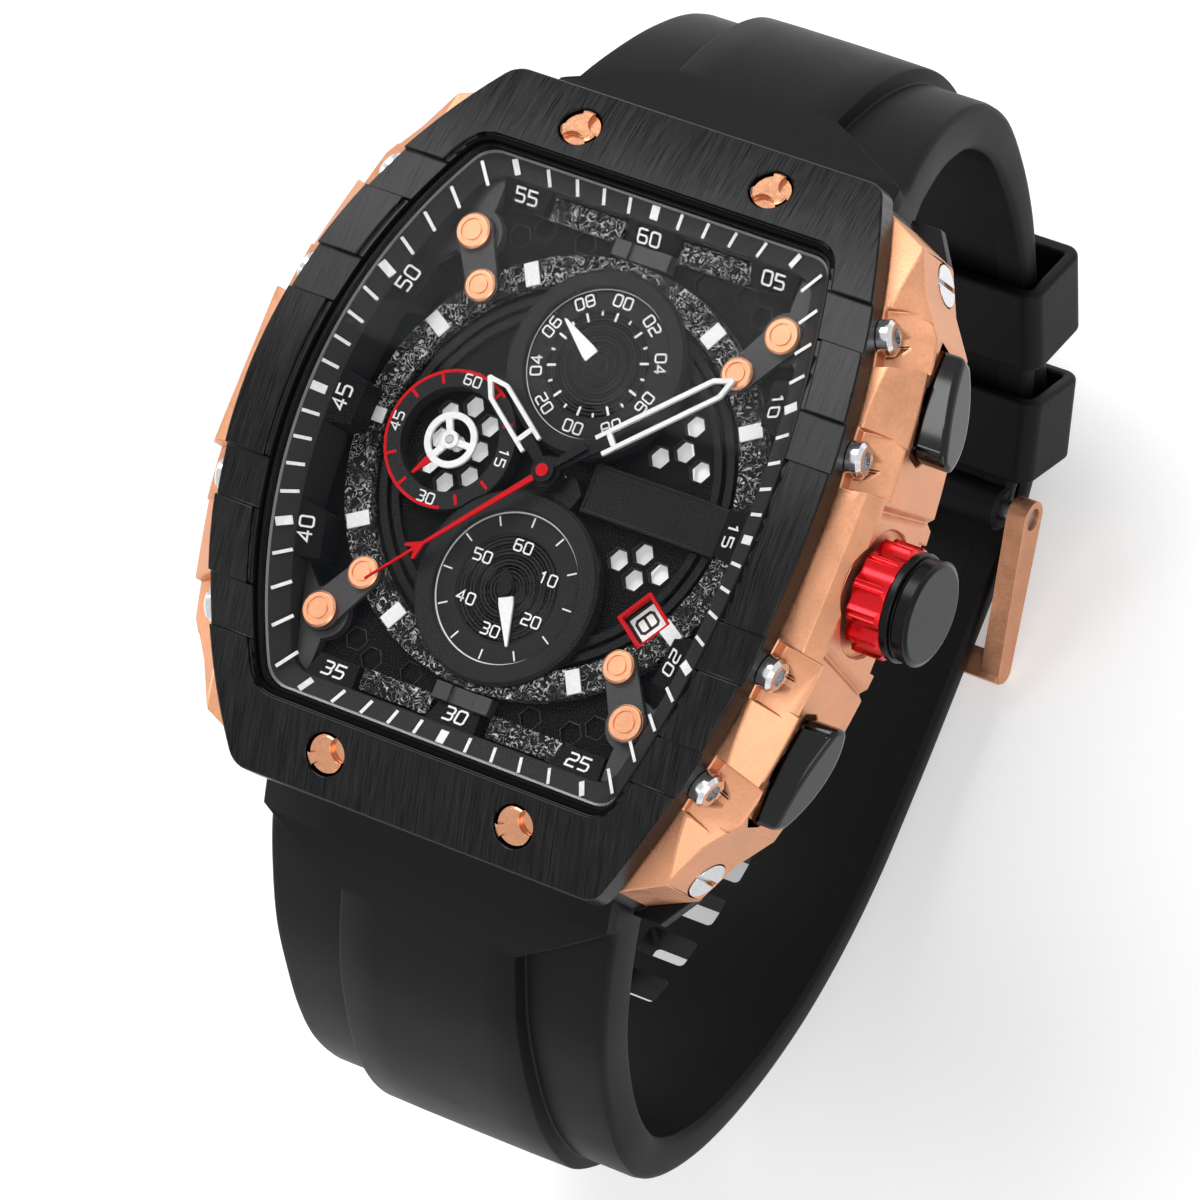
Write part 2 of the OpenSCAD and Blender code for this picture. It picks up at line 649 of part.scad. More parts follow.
module movement_ring() {
    color([0.85, 0.85, 0.83]) difference() {
        translate([0, 0, 2.1]) cylinder(r = cavity_r - 0.1, h = shelf_z - seat - 2.1);
        translate([0, 0, 1]) cylinder(r = 13.03, h = 9);
        translate([0, 0, 6.9]) cylinder(r = 13.4, h = 2);
        translate([13, -stem_r - 0.1, crown_z - stem_r - 0.1]) cube([4, 2 * stem_r + 0.2, 3]);
        for (s = [-1, 1]) translate([9, s * push_y - 0.6, push_z - 0.6]) cube([4, 1.2, 3]);
    }
}

module battery() {
    color(steel) translate([-5.2, -4.8, 2.1]) {
        cylinder(r = 4.75, h = 1.5);
        cylinder(r = 4.2, h = 1.75);
    }
}

module date_disc() {
    color(white) translate([0, 0, 7.2]) difference() {
        cylinder(r = 13.2, h = 0.3);
        translate([0, 0, -1]) cylinder(r = 9.05, h = 2);
    }
}

// pale plate seen through the open lattice
module dial_underlay() {
    color(white) translate([0, 0, 7 + seat]) difference() {
        cylinder(r = 9, h = 0.5);
        for (p = posts()) translate([p[0], p[1], -1]) cylinder(r = 0.4, h = 4);
    }
}

// dial
function near(x, y, px, py) = sqrt(pow(x - px, 2) + pow(y - py, 2));
function cell_x(i) = i * cell_p * cos(30);
function cell_y(i, j) = (j + abs(i % 2) / 2) * cell_p;
date_r = 11.72;
date_a = -34.5;

function open_right(x, y) = x > 3 && near(x, y, 0, 0) > 5 && near(x, y, 0, 0) < 10.3
    && abs(y) < x * 1.05 && (y > 2.7 || y < -2.4) && near(x, y, 0, sub_d) > sub12_r + 0.85
    && near(x, y, 0, -sub_d) > sub6_r + 0.85
    && near(x, y, date_r * cos(date_a), date_r * sin(date_a)) > 2.7;
function open_left(x, y) = near(x, y, -sub_d, 0) < 2.95 && near(x, y, -sub_d, 0) > 1;
function relief(x, y) = near(x, y, 0, 0) > ring_ro + 0.75 && abs(x) < 9.4 && abs(x) > 2.9 && abs(y) < 15.1;

module dial_plate() {
    n = 11;
    color(black) difference() {
        rbarrel(open_half_w + 0.4, open_half_l + 0.4, open_corner_r, dial_z - dial_t, dial_z);
        translate([0, 0, 5]) linear_extrude(6) for (i = [-n : n], j = [-n : n])
            if (open_right(cell_x(i), cell_y(i, j)) || open_left(cell_x(i), cell_y(i, j)))
                translate([cell_x(i), cell_y(i, j)]) circle(r = cell_p * 0.43, $fn = 6);
        translate([0, 0, dial_z - 0.2]) linear_extrude(1) for (i = [-n : n], j = [-n : n])
            if (relief(cell_x(i), cell_y(i, j)))
                translate([cell_x(i), cell_y(i, j)]) circle(r = cell_p * 0.43, $fn = 6);
        rotate([0, 0, date_a]) translate([date_r - 1, -1, 5]) cube([2, 2, 6]);
        for (p = posts()) translate([p[0], p[1], 5]) cylinder(r = 0.55, h = 6);
    }
}

module small_dial_holes(c) {
    translate([0, sub_d, 5]) cylinder(r = sub12_r + c, h = 6);
    translate([0, -sub_d, 5]) cylinder(r = sub6_r + c, h = 6);
}

module date_hole(c) {
    rotate([0, 0, date_a]) translate([date_r - 1.35 - c, -1.35 - c, 5]) cube([2.7 + 2 * c, 2.7 + 2 * c, 6]);
}

module chapter_ring() {
    color([0.3, 0.3, 0.3]) difference() {
        translate([0, 0, dial_z]) cylinder(r = ring_ro, h = ring_z - dial_z);
        translate([0, 0, 5]) cylinder(r = ring_ri, h = 6);
        small_dial_holes(0.03);
        date_hole(0.02);
        translate([11, -1.5, dial_z - 1]) cube([1.75, 3.3, 3]);
    }
}

module hour_markers() {
    color(white) difference() {
        for (a = [0 : 30 : 330]) if (a != 90 && a != 270) rotate([0, 0, a])
            translate([(ring_ri + ring_ro) / 2 - 0.8, -0.5, ring_z]) cube([1.6, 1.0, 0.15]);
        small_dial_holes(0.05);
        date_hole(0.05);
    }
}

module arc_rings() {
    color(satin) difference() {
        union() for (r = [10.9, 11.75]) translate([0, 0, dial_z]) difference() {
            cylinder(r = r + 0.55, h = 0.45);
            translate([0, 0, -1]) cylinder(r = r, h = 3);
        }
        small_dial_holes(0.03);
        translate([-sub_d, 0, 5]) cylinder(r = sub9_r + 0.03, h = 6);
        date_hole(0.02);
        translate([10, -1.55, 5]) cube([4, 3.4, 6]);
    }
}

module dial_strips() {
    color(satin) for (s = [-1, 1], x = [-1, 1]) translate([x * 4.85 - 2.65, s * 16.3 - 0.75, dial_z])
        cube([5.3, 1.5, 0.4]);
}

module small_dial(r, ri, floor_z) {
    translate([0, 0, dial_z]) difference() {
        union() {
            cylinder(r = r, h = sub_z - dial_z - 0.2);
            translate([0, 0, sub_z - dial_z - 0.21]) cylinder(r1 = r, r2 = r - 0.2, h = 0.21);
        }
        translate([0, 0, floor_z - dial_z]) cylinder(r = ri, h = 3);
        translate([0, 0, sub_z - dial_z - 0.12]) cylinder(r1 = ri - 0.01, r2 = ri + 0.14, h = 0.14);
        translate([0, 0, -1]) cylinder(r = 0.55, h = 6);
    }
}

module small_dial_12() {
    color(black) translate([0, sub_d, 0]) difference() {
        small_dial(sub12_r, 5, 9.15);
        for (r = [1.4 : 0.7 : 3.5]) translate([0, 0, 9.08]) difference() {
            cylinder(r = r + 0.12, h = 1);
            translate([0, 0, -1]) cylinder(r = r - 0.12, h = 3);
        }
    }
}

module small_dial_6() {
    color(black) translate([0, -sub_d, 0]) difference() {
        small_dial(sub6_r, 5.05, 9.15);
        for (r = [1.4 : 0.7 : 3.5]) translate([0, 0, 9.08]) difference() {
            cylinder(r = r + 0.12, h = 1);
            translate([0, 0, -1]) cylinder(r = r - 0.12, h = 3);
        }
    }
}

module small_dial_9() {
    color(black) difference() {
        translate([-sub_d, 0, 0]) difference() {
            translate([0, 0, dial_z]) cylinder(r = sub9_r, h = sub_z - dial_z - 0.1);
            translate([0, 0, 5]) cylinder(r = 3.46, h = 6);
        }
        small_dial_holes(0.03);
    }
}

module name_bar() {
    color(black) {
        difference() {
            translate([2.7, -1.5, dial_z]) cube([9.9, 3.3, 1.0]);
            translate([2.9, -1.3, dial_z + 0.9]) cube([9.5, 2.9, 1]);
            translate([0, 0, 5]) cylinder(r = 1.6, h = 6);
            small_dial_holes(0.03);
        }
        difference() {
            translate([1.45, -0.75, dial_z]) rotate([0, 0, 10]) cylinder(r = 1.15, h = 1.2, $fn = 6);
            small_dial_holes(0.03);
            translate([2.68, -1.52, 5]) cube([9.9, 3.3, 6]);
        }
    }
}

stud_out = [11.64, 13.16];
stud_in = [9.68, 9.97];

module corner_brackets() {
    color(satin) for (sx = [0, 1], sy = [0, 1]) mirror([sx, 0, 0]) mirror([0, sy, 0]) intersection() {
        rbarrel(open_half_w - flange_w - 0.05, open_half_l - flange_w - 0.05, open_corner_r, dial_z, ring_z);
        union() {
            translate([0, 0, dial_z]) linear_extrude(3)
                polygon([[11.1, 15], [11.1, 17.8], [17, 17.8], [17, 10.5], [13.9, 10.5], [12.4, 12]]);
            translate([stud_out[0], stud_out[1], dial_z]) cylinder(r = 1.75, h = 3);
        }
    }
}

module corner_links() {
    d = norm(stud_out - stud_in);
    a = atan2(stud_out[1] - stud_in[1], stud_out[0] - stud_in[0]);
    color(satin) for (sx = [0, 1], sy = [0, 1]) mirror([sx, 0, 0]) mirror([0, sy, 0])
        translate([stud_in[0], stud_in[1], ring_z]) rotate([0, 0, a]) {
            cylinder(r = 1.1, h = 0.45);
            translate([d, 0, 0]) cylinder(r = 1.3, h = 0.45);
            linear_extrude(0.45) polygon([[0, -1.1], [d, -1.25], [d, 1.25], [0, 1.1]]);
        }
}

module link_studs() {
    color(rose) for (sx = [0, 1], sy = [0, 1]) mirror([sx, 0, 0]) mirror([0, sy, 0])
        for (p = [[stud_out, 1.2], [stud_in, 1.08]]) translate([p[0][0], p[0][1], ring_z + 0.45])
            difference() {
                union() {
                    cylinder(r = p[1], h = 0.35);
                    translate([0, 0, 0.34]) cylinder(r1 = p[1], r2 = p[1] - 0.12, h = 0.12);
                }
                translate([0, 0, 0.36]) difference() {
                    cylinder(r = p[1] * 0.66, h = 1);
                    translate([0, 0, -1]) cylinder(r = p[1] * 0.52, h = 3);
                }
            }
}

module dial_clips() {
    color(satin) for (s = [0, 1]) mirror([0, s, 0]) difference() {
        translate([-2.1, 14.66, dial_z]) cube([4.2, 1.15, 1.05]);
        translate([-0.9, 14, dial_z + 0.75]) cube([1.8, 3, 1]);
    }
}

module date_frame() {
    color(red) rotate([0, 0, date_a]) translate([date_r, 0, dial_z]) difference() {
        translate([-1.35, -1.35, 0]) cube([2.7, 2.7, 1.0]);
        translate([-1.1, -1.1, -1]) cube([2.2, 2.2, 3]);
    }
}

// hands
module center_post() {
    color(steel) for (p = posts()) translate([p[0], p[1], 5.5])
        cylinder(r = arbor_r, h = (p == [0, 0] ? 10.75 : 9.5) - 5.5);
}

module hand_bore(z0, z1) {
    translate([0, 0, z0]) cylinder(r = arbor_r + run, h = z1 - z0);
}

// open frame of a hand along +X between radii a and b, half width w, tip length t
module hand_frame(a, b, w, t) {
    difference() {
        polygon([[a, -w], [b - t, -w], [b, -0.12], [b, 0.12], [b - t, w], [a, w]]);
        polygon([[a + 0.3, -w + 0.28], [b - t - 0.1, -w + 0.28], [b - 0.45, 0], [b - t - 0.1, w - 0.28],
            [a + 0.3, w - 0.28]]);
    }
}

module hour_hand() {
    color(white) rotate([0, 0, 144.5]) difference() {
        translate([0, 0, 9.75]) union() {
            cylinder(r = 1.15, h = 0.3);
            linear_extrude(0.3) polygon([[0.3, -0.3], [3.3, -0.42], [3.3, 0.42], [0.3, 0.3]]);
            linear_extrude(0.3) hand_frame(3, 8, 0.8, 1.3);
        }
        hand_bore(9, 11);
    }
}

module minute_hand() {
    color(white) rotate([0, 0, 43.6]) difference() {
        translate([0, 0, 10.15]) union() {
            cylinder(r = 1.0, h = 0.3);
            linear_extrude(0.3) polygon([[0.3, -0.3], [5, -0.38], [5, 0.38], [0.3, 0.3]]);
            linear_extrude(0.3) hand_frame(4.7, 13.7, 0.72, 1.2);
        }
        hand_bore(9, 11);
    }
}

module seconds_hand() {
    color(red) rotate([0, 0, -131]) difference() {
        translate([0, 0, 10.55]) union() {
            cylinder(r = 0.75, h = 0.3);
            cylinder(r = 0.42, h = 0.42);
            linear_extrude(0.2) polygon([[-3.2, -0.3], [0, -0.2], [9.3, -0.1], [13.7, -0.05], [13.7, 0.05],
                [9.3, 0.1], [0, 0.2], [-3.2, 0.3]]);
            linear_extrude(0.2)
                polygon([[9, 0], [10.2, 0.62], [10.35, 0.5], [9.8, 0], [10.35, -0.5], [10.2, -0.62]]);
        }
        hand_bore(9, 10.78);
    }
}

module small_hand(l, w) {
    difference() {
        translate([0, 0, 9.22]) union() {
            cylinder(r = 0.62, h = 0.22);
            cylinder(r = 0.5, h = 0.36);
            linear_extrude(0.2) polygon([[-1.25, -0.14], [-0.6, -w], [1.1, -w], [l, -0.06], [l, 0.06],
                [1.1, w], [-0.6, w], [-1.25, 0.14]]);
        }
        hand_bore(9, 9.53);
    }
}

module hand_12() {
    color(white) translate([0, sub_d, 0]) rotate([0, 0, 147.9]) small_hand(3.9, 0.5);
}

module hand_6() {
    color(white) translate([0, -sub_d, 0]) rotate([0, 0, -65.7]) small_hand(3.85, 0.5);
}

// running seconds: a spoked wheel with one long pointer
module wheel_9() {
    color(white) translate([-sub_d, 0, 0]) rotate([0, 0, -121.7]) difference() {
        translate([0, 0, 9.1]) union() {
            difference() {
                cylinder(r = 1.85, h = 0.25);
                translate([0, 0, -1]) cylinder(r = 1.42, h = 3);
            }
            cylinder(r = 0.6, h = 0.4);
            for (a = [0, 120, 240]) rotate([0, 0, a]) translate([0, -0.22, 0]) cube([1.6, 0.44, 0.25]);
            linear_extrude(0.2) polygon([[1.6, -0.28], [3.3, -0.08], [3.3, 0.08], [1.6, 0.28]]);
        }
        hand_bore(9, 9.53);
    }
}

// strap
function lerp(a, b, t) = a + (b - a) * t;
function cr(a, b, c, d, t) = 0.5 * (2 * b + (c - a) * t + (2 * a - 5 * b + 4 * c - d) * t * t
    + (3 * b - a - 3 * c + d) * t * t * t);
function at(s, u) = let (n = len(s) - 1, i = min(floor(u), n - 1), t = u - i)
    cr(s[max(i - 1, 0)], s[i], s[i + 1], s[min(i + 2, n)], t);
// station frame: [point, tangent, outward normal] in the Y-Z plane
function frame_at(s, u, side) = let (n = len(s) - 1, a = at(s, max(u - 0.02, 0)),
    b = at(s, min(u + 0.02, n)), d = [b[0] - a[0], b[1] - a[1]], t = d / norm(d))
    [at(s, u), t, [-t[1] * side, t[0] * side]];

function strap_section(q) = let (w = q[2], th = q[3], e = max(q[4], 0.02), r = q[5], c = 0.45)
    [[-w, -c], [-w + c, 0], [-r - e - 0.15, 0], [-r, e], [r, e], [r + e + 0.15, 0], [w - c, 0], [w, -c],
     [w, -th + c], [w - c, -th], [c - w, -th], [-w, c - th]];

// lofted strap through the stations of s; side is 1 for the 12 o'clock half and -1 for the other
module strap_loft(s, side, step) {
    n = len(s) - 1;
    us = [for (u = [0 : step : n]) u];
    rings = [for (u = us) let (f = frame_at(s, u, side), q = strap_section(f[0]))
        [for (p = q) [p[0], f[0][0] + f[2][0] * p[1], f[0][1] + f[2][1] * p[1]]]];
    m = len(rings[0]);
    k = len(rings);
    pts = [for (r = rings) each r];
    quads = [for (i = [0 : k - 2], j = [0 : m - 1]) let (a = i * m + j, b = i * m + (j + 1) % m)
        each side > 0 ? [[a, a + m, b], [b, a + m, b + m]] : [[a, b, a + m], [b, b + m, a + m]]];
    cap0 = [for (j = [0 : m - 1]) j];
    cap1 = [for (j = [0 : m - 1]) (k - 1) * m + m - 1 - j];
    caps = side > 0 ? [cap0, cap1]
        : [[for (j = [m - 1 : -1 : 0]) cap0[j]], [for (j = [m - 1 : -1 : 0]) cap1[j]]];
    polyhedron(pts, concat(quads, caps), convexity = 8);
}

// places a child at station u with +X across the strap, +Y along it and +Z outward
module on_strap(s, u, side) {
    f = frame_at(s, u, side);
    multmatrix([[1, 0, 0, 0], [0, f[1][0], f[2][0], f[0][0]], [0, f[1][1], f[2][1], f[0][1]], [0, 0, 0, 1]])
        children();
}

module strap_root(side) {
    mirror([0, side < 0 ? 1 : 0, 0]) difference() {
        translate([-13.05, 17.85, 1.0]) cube([26.1, 4.65, 4.5]);
        translate([-14, 17, 0.2]) rotate([40, 0, 0]) cube([28, 1.4, 1.4]);
    }
}

module strap_upper() {
    color(rubber) difference() {
        union() {
            strap_loft(strap12, 1, 0.5);
            strap_root(1);
            along_x(-10.5, pin_y, pin_z) cylinder(r = 1.6, h = 21);
        }
        along_x(-20, bar_y, bar_z) cylinder(d = bar_d + 0.04, h = 40);
        along_x(-20, pin_y, pin_z) cylinder(r = pin_r + 0.02, h = 40);
        translate([-1.5, pin_y - 4, pin_z - 3]) cube([3, 6.6, 6]);
    }
}

module strap_lower() {
    color(rubber) difference() {
        union() {
            strap_loft(strap6, -1, 0.5);
            strap_root(-1);
        }
        along_x(-20, -bar_y, bar_z) cylinder(d = bar_d + 0.04, h = 40);
        for (i = [0 : slot_n - 1]) on_strap(strap6, 22 - i, -1)
            translate([-slot_w / 2, -slot_l / 2, -6]) cube([slot_w, slot_l, 12]);
    }
}

// buckle
module buckle_pin() {
    color(steel) along_x(-buckle_half_w + 0.3, pin_y, pin_z)
        cylinder(r = pin_r, h = 2 * buckle_half_w - 0.6);
}

// flat bar with two round ends in the Y-Z plane, thickness t along X from x0
module round_bar(x0, t, p1, r1, p2, r2) {
    d = norm(p2 - p1);
    a = atan2(p2[1] - p1[1], p2[0] - p1[0]);
    b = acos((r1 - r2) / d);
    translate([x0, 0, 0]) {
        along_x(0, p1[0], p1[1]) cylinder(r = r1, h = t);
        along_x(0, p2[0], p2[1]) cylinder(r = r2, h = t);
        rotate([90, 0, 90]) linear_extrude(t) polygon([
            p1 + r1 * [cos(a + b), sin(a + b)], p1 + r1 * [cos(a - b), sin(a - b)],
            p2 + r2 * [cos(a - b), sin(a - b)], p2 + r2 * [cos(a + b), sin(a + b)]]);
    }
}

module buckle_frame() {
    pin = [pin_y, pin_z];
    cross = [cross_y, cross_z];
    color(rose) difference() {
        union() {
            for (s = [0, 1]) mirror([s, 0, 0]) {
                round_bar(buckle_half_w - arm_t, arm_t, pin, arm_h / 2, cross, 0.9);
            }
            translate([-buckle_half_w + 0.1, cross_y - 1.0, cross_z - 0.8])
                cube([2 * buckle_half_w - 0.2, 2, 1.5]);
        }
        along_x(-20, pin_y, pin_z) cylinder(r = pin_r + run, h = 40);
        translate([-1.2, cross_y - 3, cross_z - 3]) cube([2.4, 6, 3.25]);
        difference() {
            translate([-20, cross_y - 3, cross_z - 3]) cube([40, 2.3, 3]);
            translate([-21, cross_y - 0.1, cross_z + 0.1]) rotate([0, 90, 0]) cylinder(r = 0.9, h = 42);
        }
    }
}

module buckle_tang() {
    knee = [pin_y - 4.9, pin_z - 1.35];
    heel = [pin_y - 6.35, pin_z - 5.15];
    tip = [cross_y - 0.4, cross_z - 0.3];
    color(rose) difference() {
        union() {
            round_bar(-0.9, 1.8, [pin_y, pin_z], 1.35, knee, 0.5);
            round_bar(-0.9, 1.8, knee, 0.5, heel, 0.5);
            round_bar(-0.9, 1.8, heel, 0.5, tip, 0.4);
        }
        along_x(-20, pin_y, pin_z) cylinder(r = pin_r + run, h = 40);
    }
}

// keepers
// loop of rubber round both straps; u is its place on the tail and l its length along the strap
module keeper(u, l) {
    inner_h = 4.35 + 2 * keeper_gap;
    inner_w = 10.85 + keeper_gap;
    on_strap(strap6, u, -1) translate([0, 0, keeper_gap]) difference() {
        keeper_block(inner_w + keeper_t, inner_h + 2 * keeper_t, l, 1.2, keeper_t);
        keeper_block(inner_w, inner_h, l + 2, 0.3, 0);
    }
}

// block with four rounded edges, its upper face lift above the origin
module keeper_block(hw, h, l, r, lift) {
    translate([0, -l / 2, lift - h / 2]) rotate([-90, 0, 0]) {
        translate([-hw + r, -h / 2, 0]) cube([2 * hw - 2 * r, h, l]);
        translate([-hw, -h / 2 + r, 0]) cube([2 * hw, h - 2 * r, l]);
        for (x = [-1, 1], z = [-1, 1]) translate([x * (hw - r), z * (h / 2 - r), 0]) cylinder(r = r, h = l);
    }
}

module keeper_fixed() {
    color(rubber) keeper(25.45, 6.2);
}

module keeper_free() {
    color(rubber) keeper(27.9, 6.4);
}

bezel();
mid_case();
side_plate_right();
side_plate_left();
case_back();
back_gasket();
crystal();
crystal_gasket();
flange_ring();
dial_plate();
date_disc();
movement();
movement_ring();
dial_underlay();
battery();
chapter_ring();
hour_markers();
arc_rings();
dial_strips();
small_dial_12();
small_dial_6();
small_dial_9();
name_bar();
corner_brackets();
corner_links();
link_studs();
dial_clips();
date_frame();
bezel_screws();
side_screws();
lug_screws();
back_screws();
strap_bars();
crown_tube();
crown_grip();
crown_cap();
crown_stem();
pusher_upper();
pusher_lower();
pusher_tubes();
center_post();
hour_hand();
minute_hand();
seconds_hand();
hand_12();
hand_6();
wheel_9();
strap_upper();
strap_lower();
buckle_pin();
buckle_frame();
buckle_tang();
keeper_fixed();
keeper_free();
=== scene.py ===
"""Tonneau chronograph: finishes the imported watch, adds its printed and moulded detail, and sets the stage."""
import json
import math

import bmesh
import bpy
from bpy.props import FloatProperty, FloatVectorProperty, IntProperty, PointerProperty
from mathutils import Matrix, Vector


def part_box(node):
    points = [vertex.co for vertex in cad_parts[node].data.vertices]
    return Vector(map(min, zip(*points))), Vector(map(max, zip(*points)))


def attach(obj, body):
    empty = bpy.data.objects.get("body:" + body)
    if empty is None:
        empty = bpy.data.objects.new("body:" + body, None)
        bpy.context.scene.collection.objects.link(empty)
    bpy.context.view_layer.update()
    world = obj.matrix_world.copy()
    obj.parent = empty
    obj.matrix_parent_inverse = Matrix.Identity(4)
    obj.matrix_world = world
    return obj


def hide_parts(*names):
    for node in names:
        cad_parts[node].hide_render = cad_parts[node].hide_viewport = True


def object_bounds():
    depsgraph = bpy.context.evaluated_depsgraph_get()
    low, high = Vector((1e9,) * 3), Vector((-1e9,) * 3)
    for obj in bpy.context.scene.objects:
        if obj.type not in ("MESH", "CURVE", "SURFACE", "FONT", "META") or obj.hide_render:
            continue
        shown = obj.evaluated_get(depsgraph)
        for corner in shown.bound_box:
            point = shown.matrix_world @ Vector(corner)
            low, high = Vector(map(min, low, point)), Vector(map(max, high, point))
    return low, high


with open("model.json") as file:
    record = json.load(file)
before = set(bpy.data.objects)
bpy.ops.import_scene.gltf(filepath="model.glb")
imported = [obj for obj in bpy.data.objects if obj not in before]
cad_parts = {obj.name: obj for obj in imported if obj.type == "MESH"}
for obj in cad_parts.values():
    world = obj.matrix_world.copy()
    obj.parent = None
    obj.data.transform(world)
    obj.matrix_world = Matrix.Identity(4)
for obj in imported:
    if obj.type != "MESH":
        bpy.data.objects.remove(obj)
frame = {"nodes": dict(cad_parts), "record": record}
CAD_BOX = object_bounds()

bl_info = {
    "name": "Tonneau Chronograph",
    "version": (1, 0, 0),
    "blender": (4, 5, 0),
    "location": "View3D > Sidebar > Watch",
    "description": "Builds the finishes, printed dial and strap of a tonneau chronograph",
    "category": "Object",
}

MM = 0.001
NODES = frame["nodes"]
BODY_OF = {node: body for body, nodes in frame["record"]["behaviour"]["bodies"].items() for node in nodes}
SLOT_OF = {part["node"]: part["material_slot"] for part in frame["record"]["subparts"]}

# The case's own curves, in millimetres
SIDE_R = 46.8
ARCH_R = 56.0
TOP_Z = 14.5
OPEN_W = 17.15
OPEN_L = 19.05
# From the dial's centre to the centre of each small dial
SUB = 7.71


def arch_z(y, drop=0.0):
    """Height of the case's arch at y, drop below the bezel's top."""
    return TOP_Z - ARCH_R + math.sqrt((ARCH_R - drop) ** 2 - y * y)


def side_x(half_w, y):
    """Half width of a barrel outline at y."""
    return half_w - SIDE_R + math.sqrt(SIDE_R ** 2 - y * y)


# Settings that a user would change

def colour_setting(name, description, default):
    """A colour in the panel."""
    return FloatVectorProperty(name=name, description=description, subtype="COLOR", size=3, min=0, max=1,
                               default=default)


def length_setting(name, description, default, low, high):
    """A length in the panel, in metres, with its limits."""
    return FloatProperty(name=name, description=description, default=default, min=low, max=high,
                         unit="LENGTH", precision=5)


class WatchColours(bpy.types.PropertyGroup):
    bezel: colour_setting("Bezel", "Colour of the brushed bezel", (0.016, 0.016, 0.0165))
    rose: colour_setting("Rose metal", "Colour of the side plates and buckle", (0.62, 0.3, 0.17))
    strap: colour_setting("Strap", "Colour of the rubber strap", (0.0045, 0.0045, 0.005))
    accent: colour_setting("Accent", "Colour of the crown's grip and red prints", (0.62, 0.006, 0.012))
    print_white: colour_setting("Print", "Colour of the white prints and hands", (0.86, 0.86, 0.85))


class DialSizes(bpy.types.PropertyGroup):
    tick_length: length_setting("Tick length", "Length of a minute tick on the flange", 0.001, 0.0005, 0.002)
    tick_width: length_setting("Tick width", "Width of a minute tick on the flange", 0.00022, 0.0001, 0.0006)
    numeral_size: length_setting("Numeral size", "Height of the flange's numerals", 0.0009, 0.0006, 0.0016)
    small_numeral: length_setting("Small numeral", "Height of the small dials' numerals",
                                  0.00086, 0.0005, 0.0014)
    ring_count: IntProperty(name="Turned rings", description="Rings turned into a small dial", default=12,
                            min=2, max=24)
    print_height: length_setting("Print height", "How far a print stands off its ground",
                                 0.00003, 0.00001, 0.0001)


class StageSizes(bpy.types.PropertyGroup):
    distance: FloatProperty(name="Camera distance", description="From the dial's centre to the camera",
                            default=0.465, min=0.2, max=2, unit="LENGTH")
    key_power: FloatProperty(name="Key light", description="Power of the large key light",
                             default=1.6, min=0, max=100, unit="POWER")
    floor_tone: FloatProperty(name="Floor tone", description="Grey value of the floor", default=0.82,
                              min=0, max=1, subtype="FACTOR")


# Shader groups

class Tree:
    """Short calls for building a node tree."""

    def __init__(self, tree):
        self.tree = tree

    def fill(self, node, **values):
        """Sets a node's properties and inputs by name. An input is linked where its value is a socket."""
        for key, value in values.items():
            if hasattr(node, key):
                setattr(node, key, value)
            else:
                self.feed(node.inputs[key.replace("_", " ")], value)
        return node

    def feed(self, socket, value):
        if isinstance(value, bpy.types.NodeSocket):
            self.tree.links.new(value, socket)
        else:
            socket.default_value = value

    def add(self, kind, **values):
        return self.fill(self.tree.nodes.new(kind), **values)

    def math(self, op, *values):
        """A sum, product or the like of numbers or sockets."""
        node = self.add("ShaderNodeMath", operation=op)
        for socket, value in zip(node.inputs, values):
            self.feed(socket, value)
        return node.outputs[0]

    def noise(self, where, **values):
        return self.add("ShaderNodeTexNoise", Vector=where, **values).outputs["Fac"]

    def remap(self, value, a, b, c, d):
        """A value moved from the range a to b into the range c to d."""
        return self.add("ShaderNodeMapRange", Value=value, From_Min=a, From_Max=b, To_Min=c,
                        To_Max=d).outputs["Result"]


def new_group(name, inputs, outputs):
    """A shader group with float inputs (name, default) and float outputs, its inputs and its out node."""
    group = bpy.data.node_groups.new(name, "ShaderNodeTree")
    for label, default in inputs:
        socket = group.interface.new_socket(name=label, in_out="INPUT", socket_type="NodeSocketFloat")
        socket.default_value = default
    for label in outputs:
        group.interface.new_socket(name=label, in_out="OUTPUT", socket_type="NodeSocketFloat")
    gin, gout = (group.nodes.new(kind) for kind in ("NodeGroupInput", "NodeGroupOutput"))
    return group, Tree(group), gin.outputs, gout


def grain_group():
    """Fine blasted or moulded grain, with soft handling marks in the roughness."""
    group, t, gin, gout = new_group("fine_grain", [("Grain", 4000.0), ("Marks", 160.0), ("Low", 0.3),
                                                   ("High", 0.45)], ["Height", "Roughness", "Tone"])
    where = t.add("ShaderNodeTexCoord").outputs["Object"]
    fine = t.noise(where, Scale=gin["Grain"], Detail=3.0, Roughness=0.6)
    marks = t.noise(where, Scale=gin["Marks"], Detail=4.0, Roughness=0.55, Distortion=0.6)
    mix = t.math("ADD", t.math("MULTIPLY", fine, 0.45), t.math("MULTIPLY", marks, 0.55))
    t.fill(gout, Height=fine, Roughness=t.remap(mix, 0.35, 0.65, gin["Low"], gin["High"]),
           Tone=t.remap(mix, 0.3, 0.7, 0.85, 1.15))
    return group


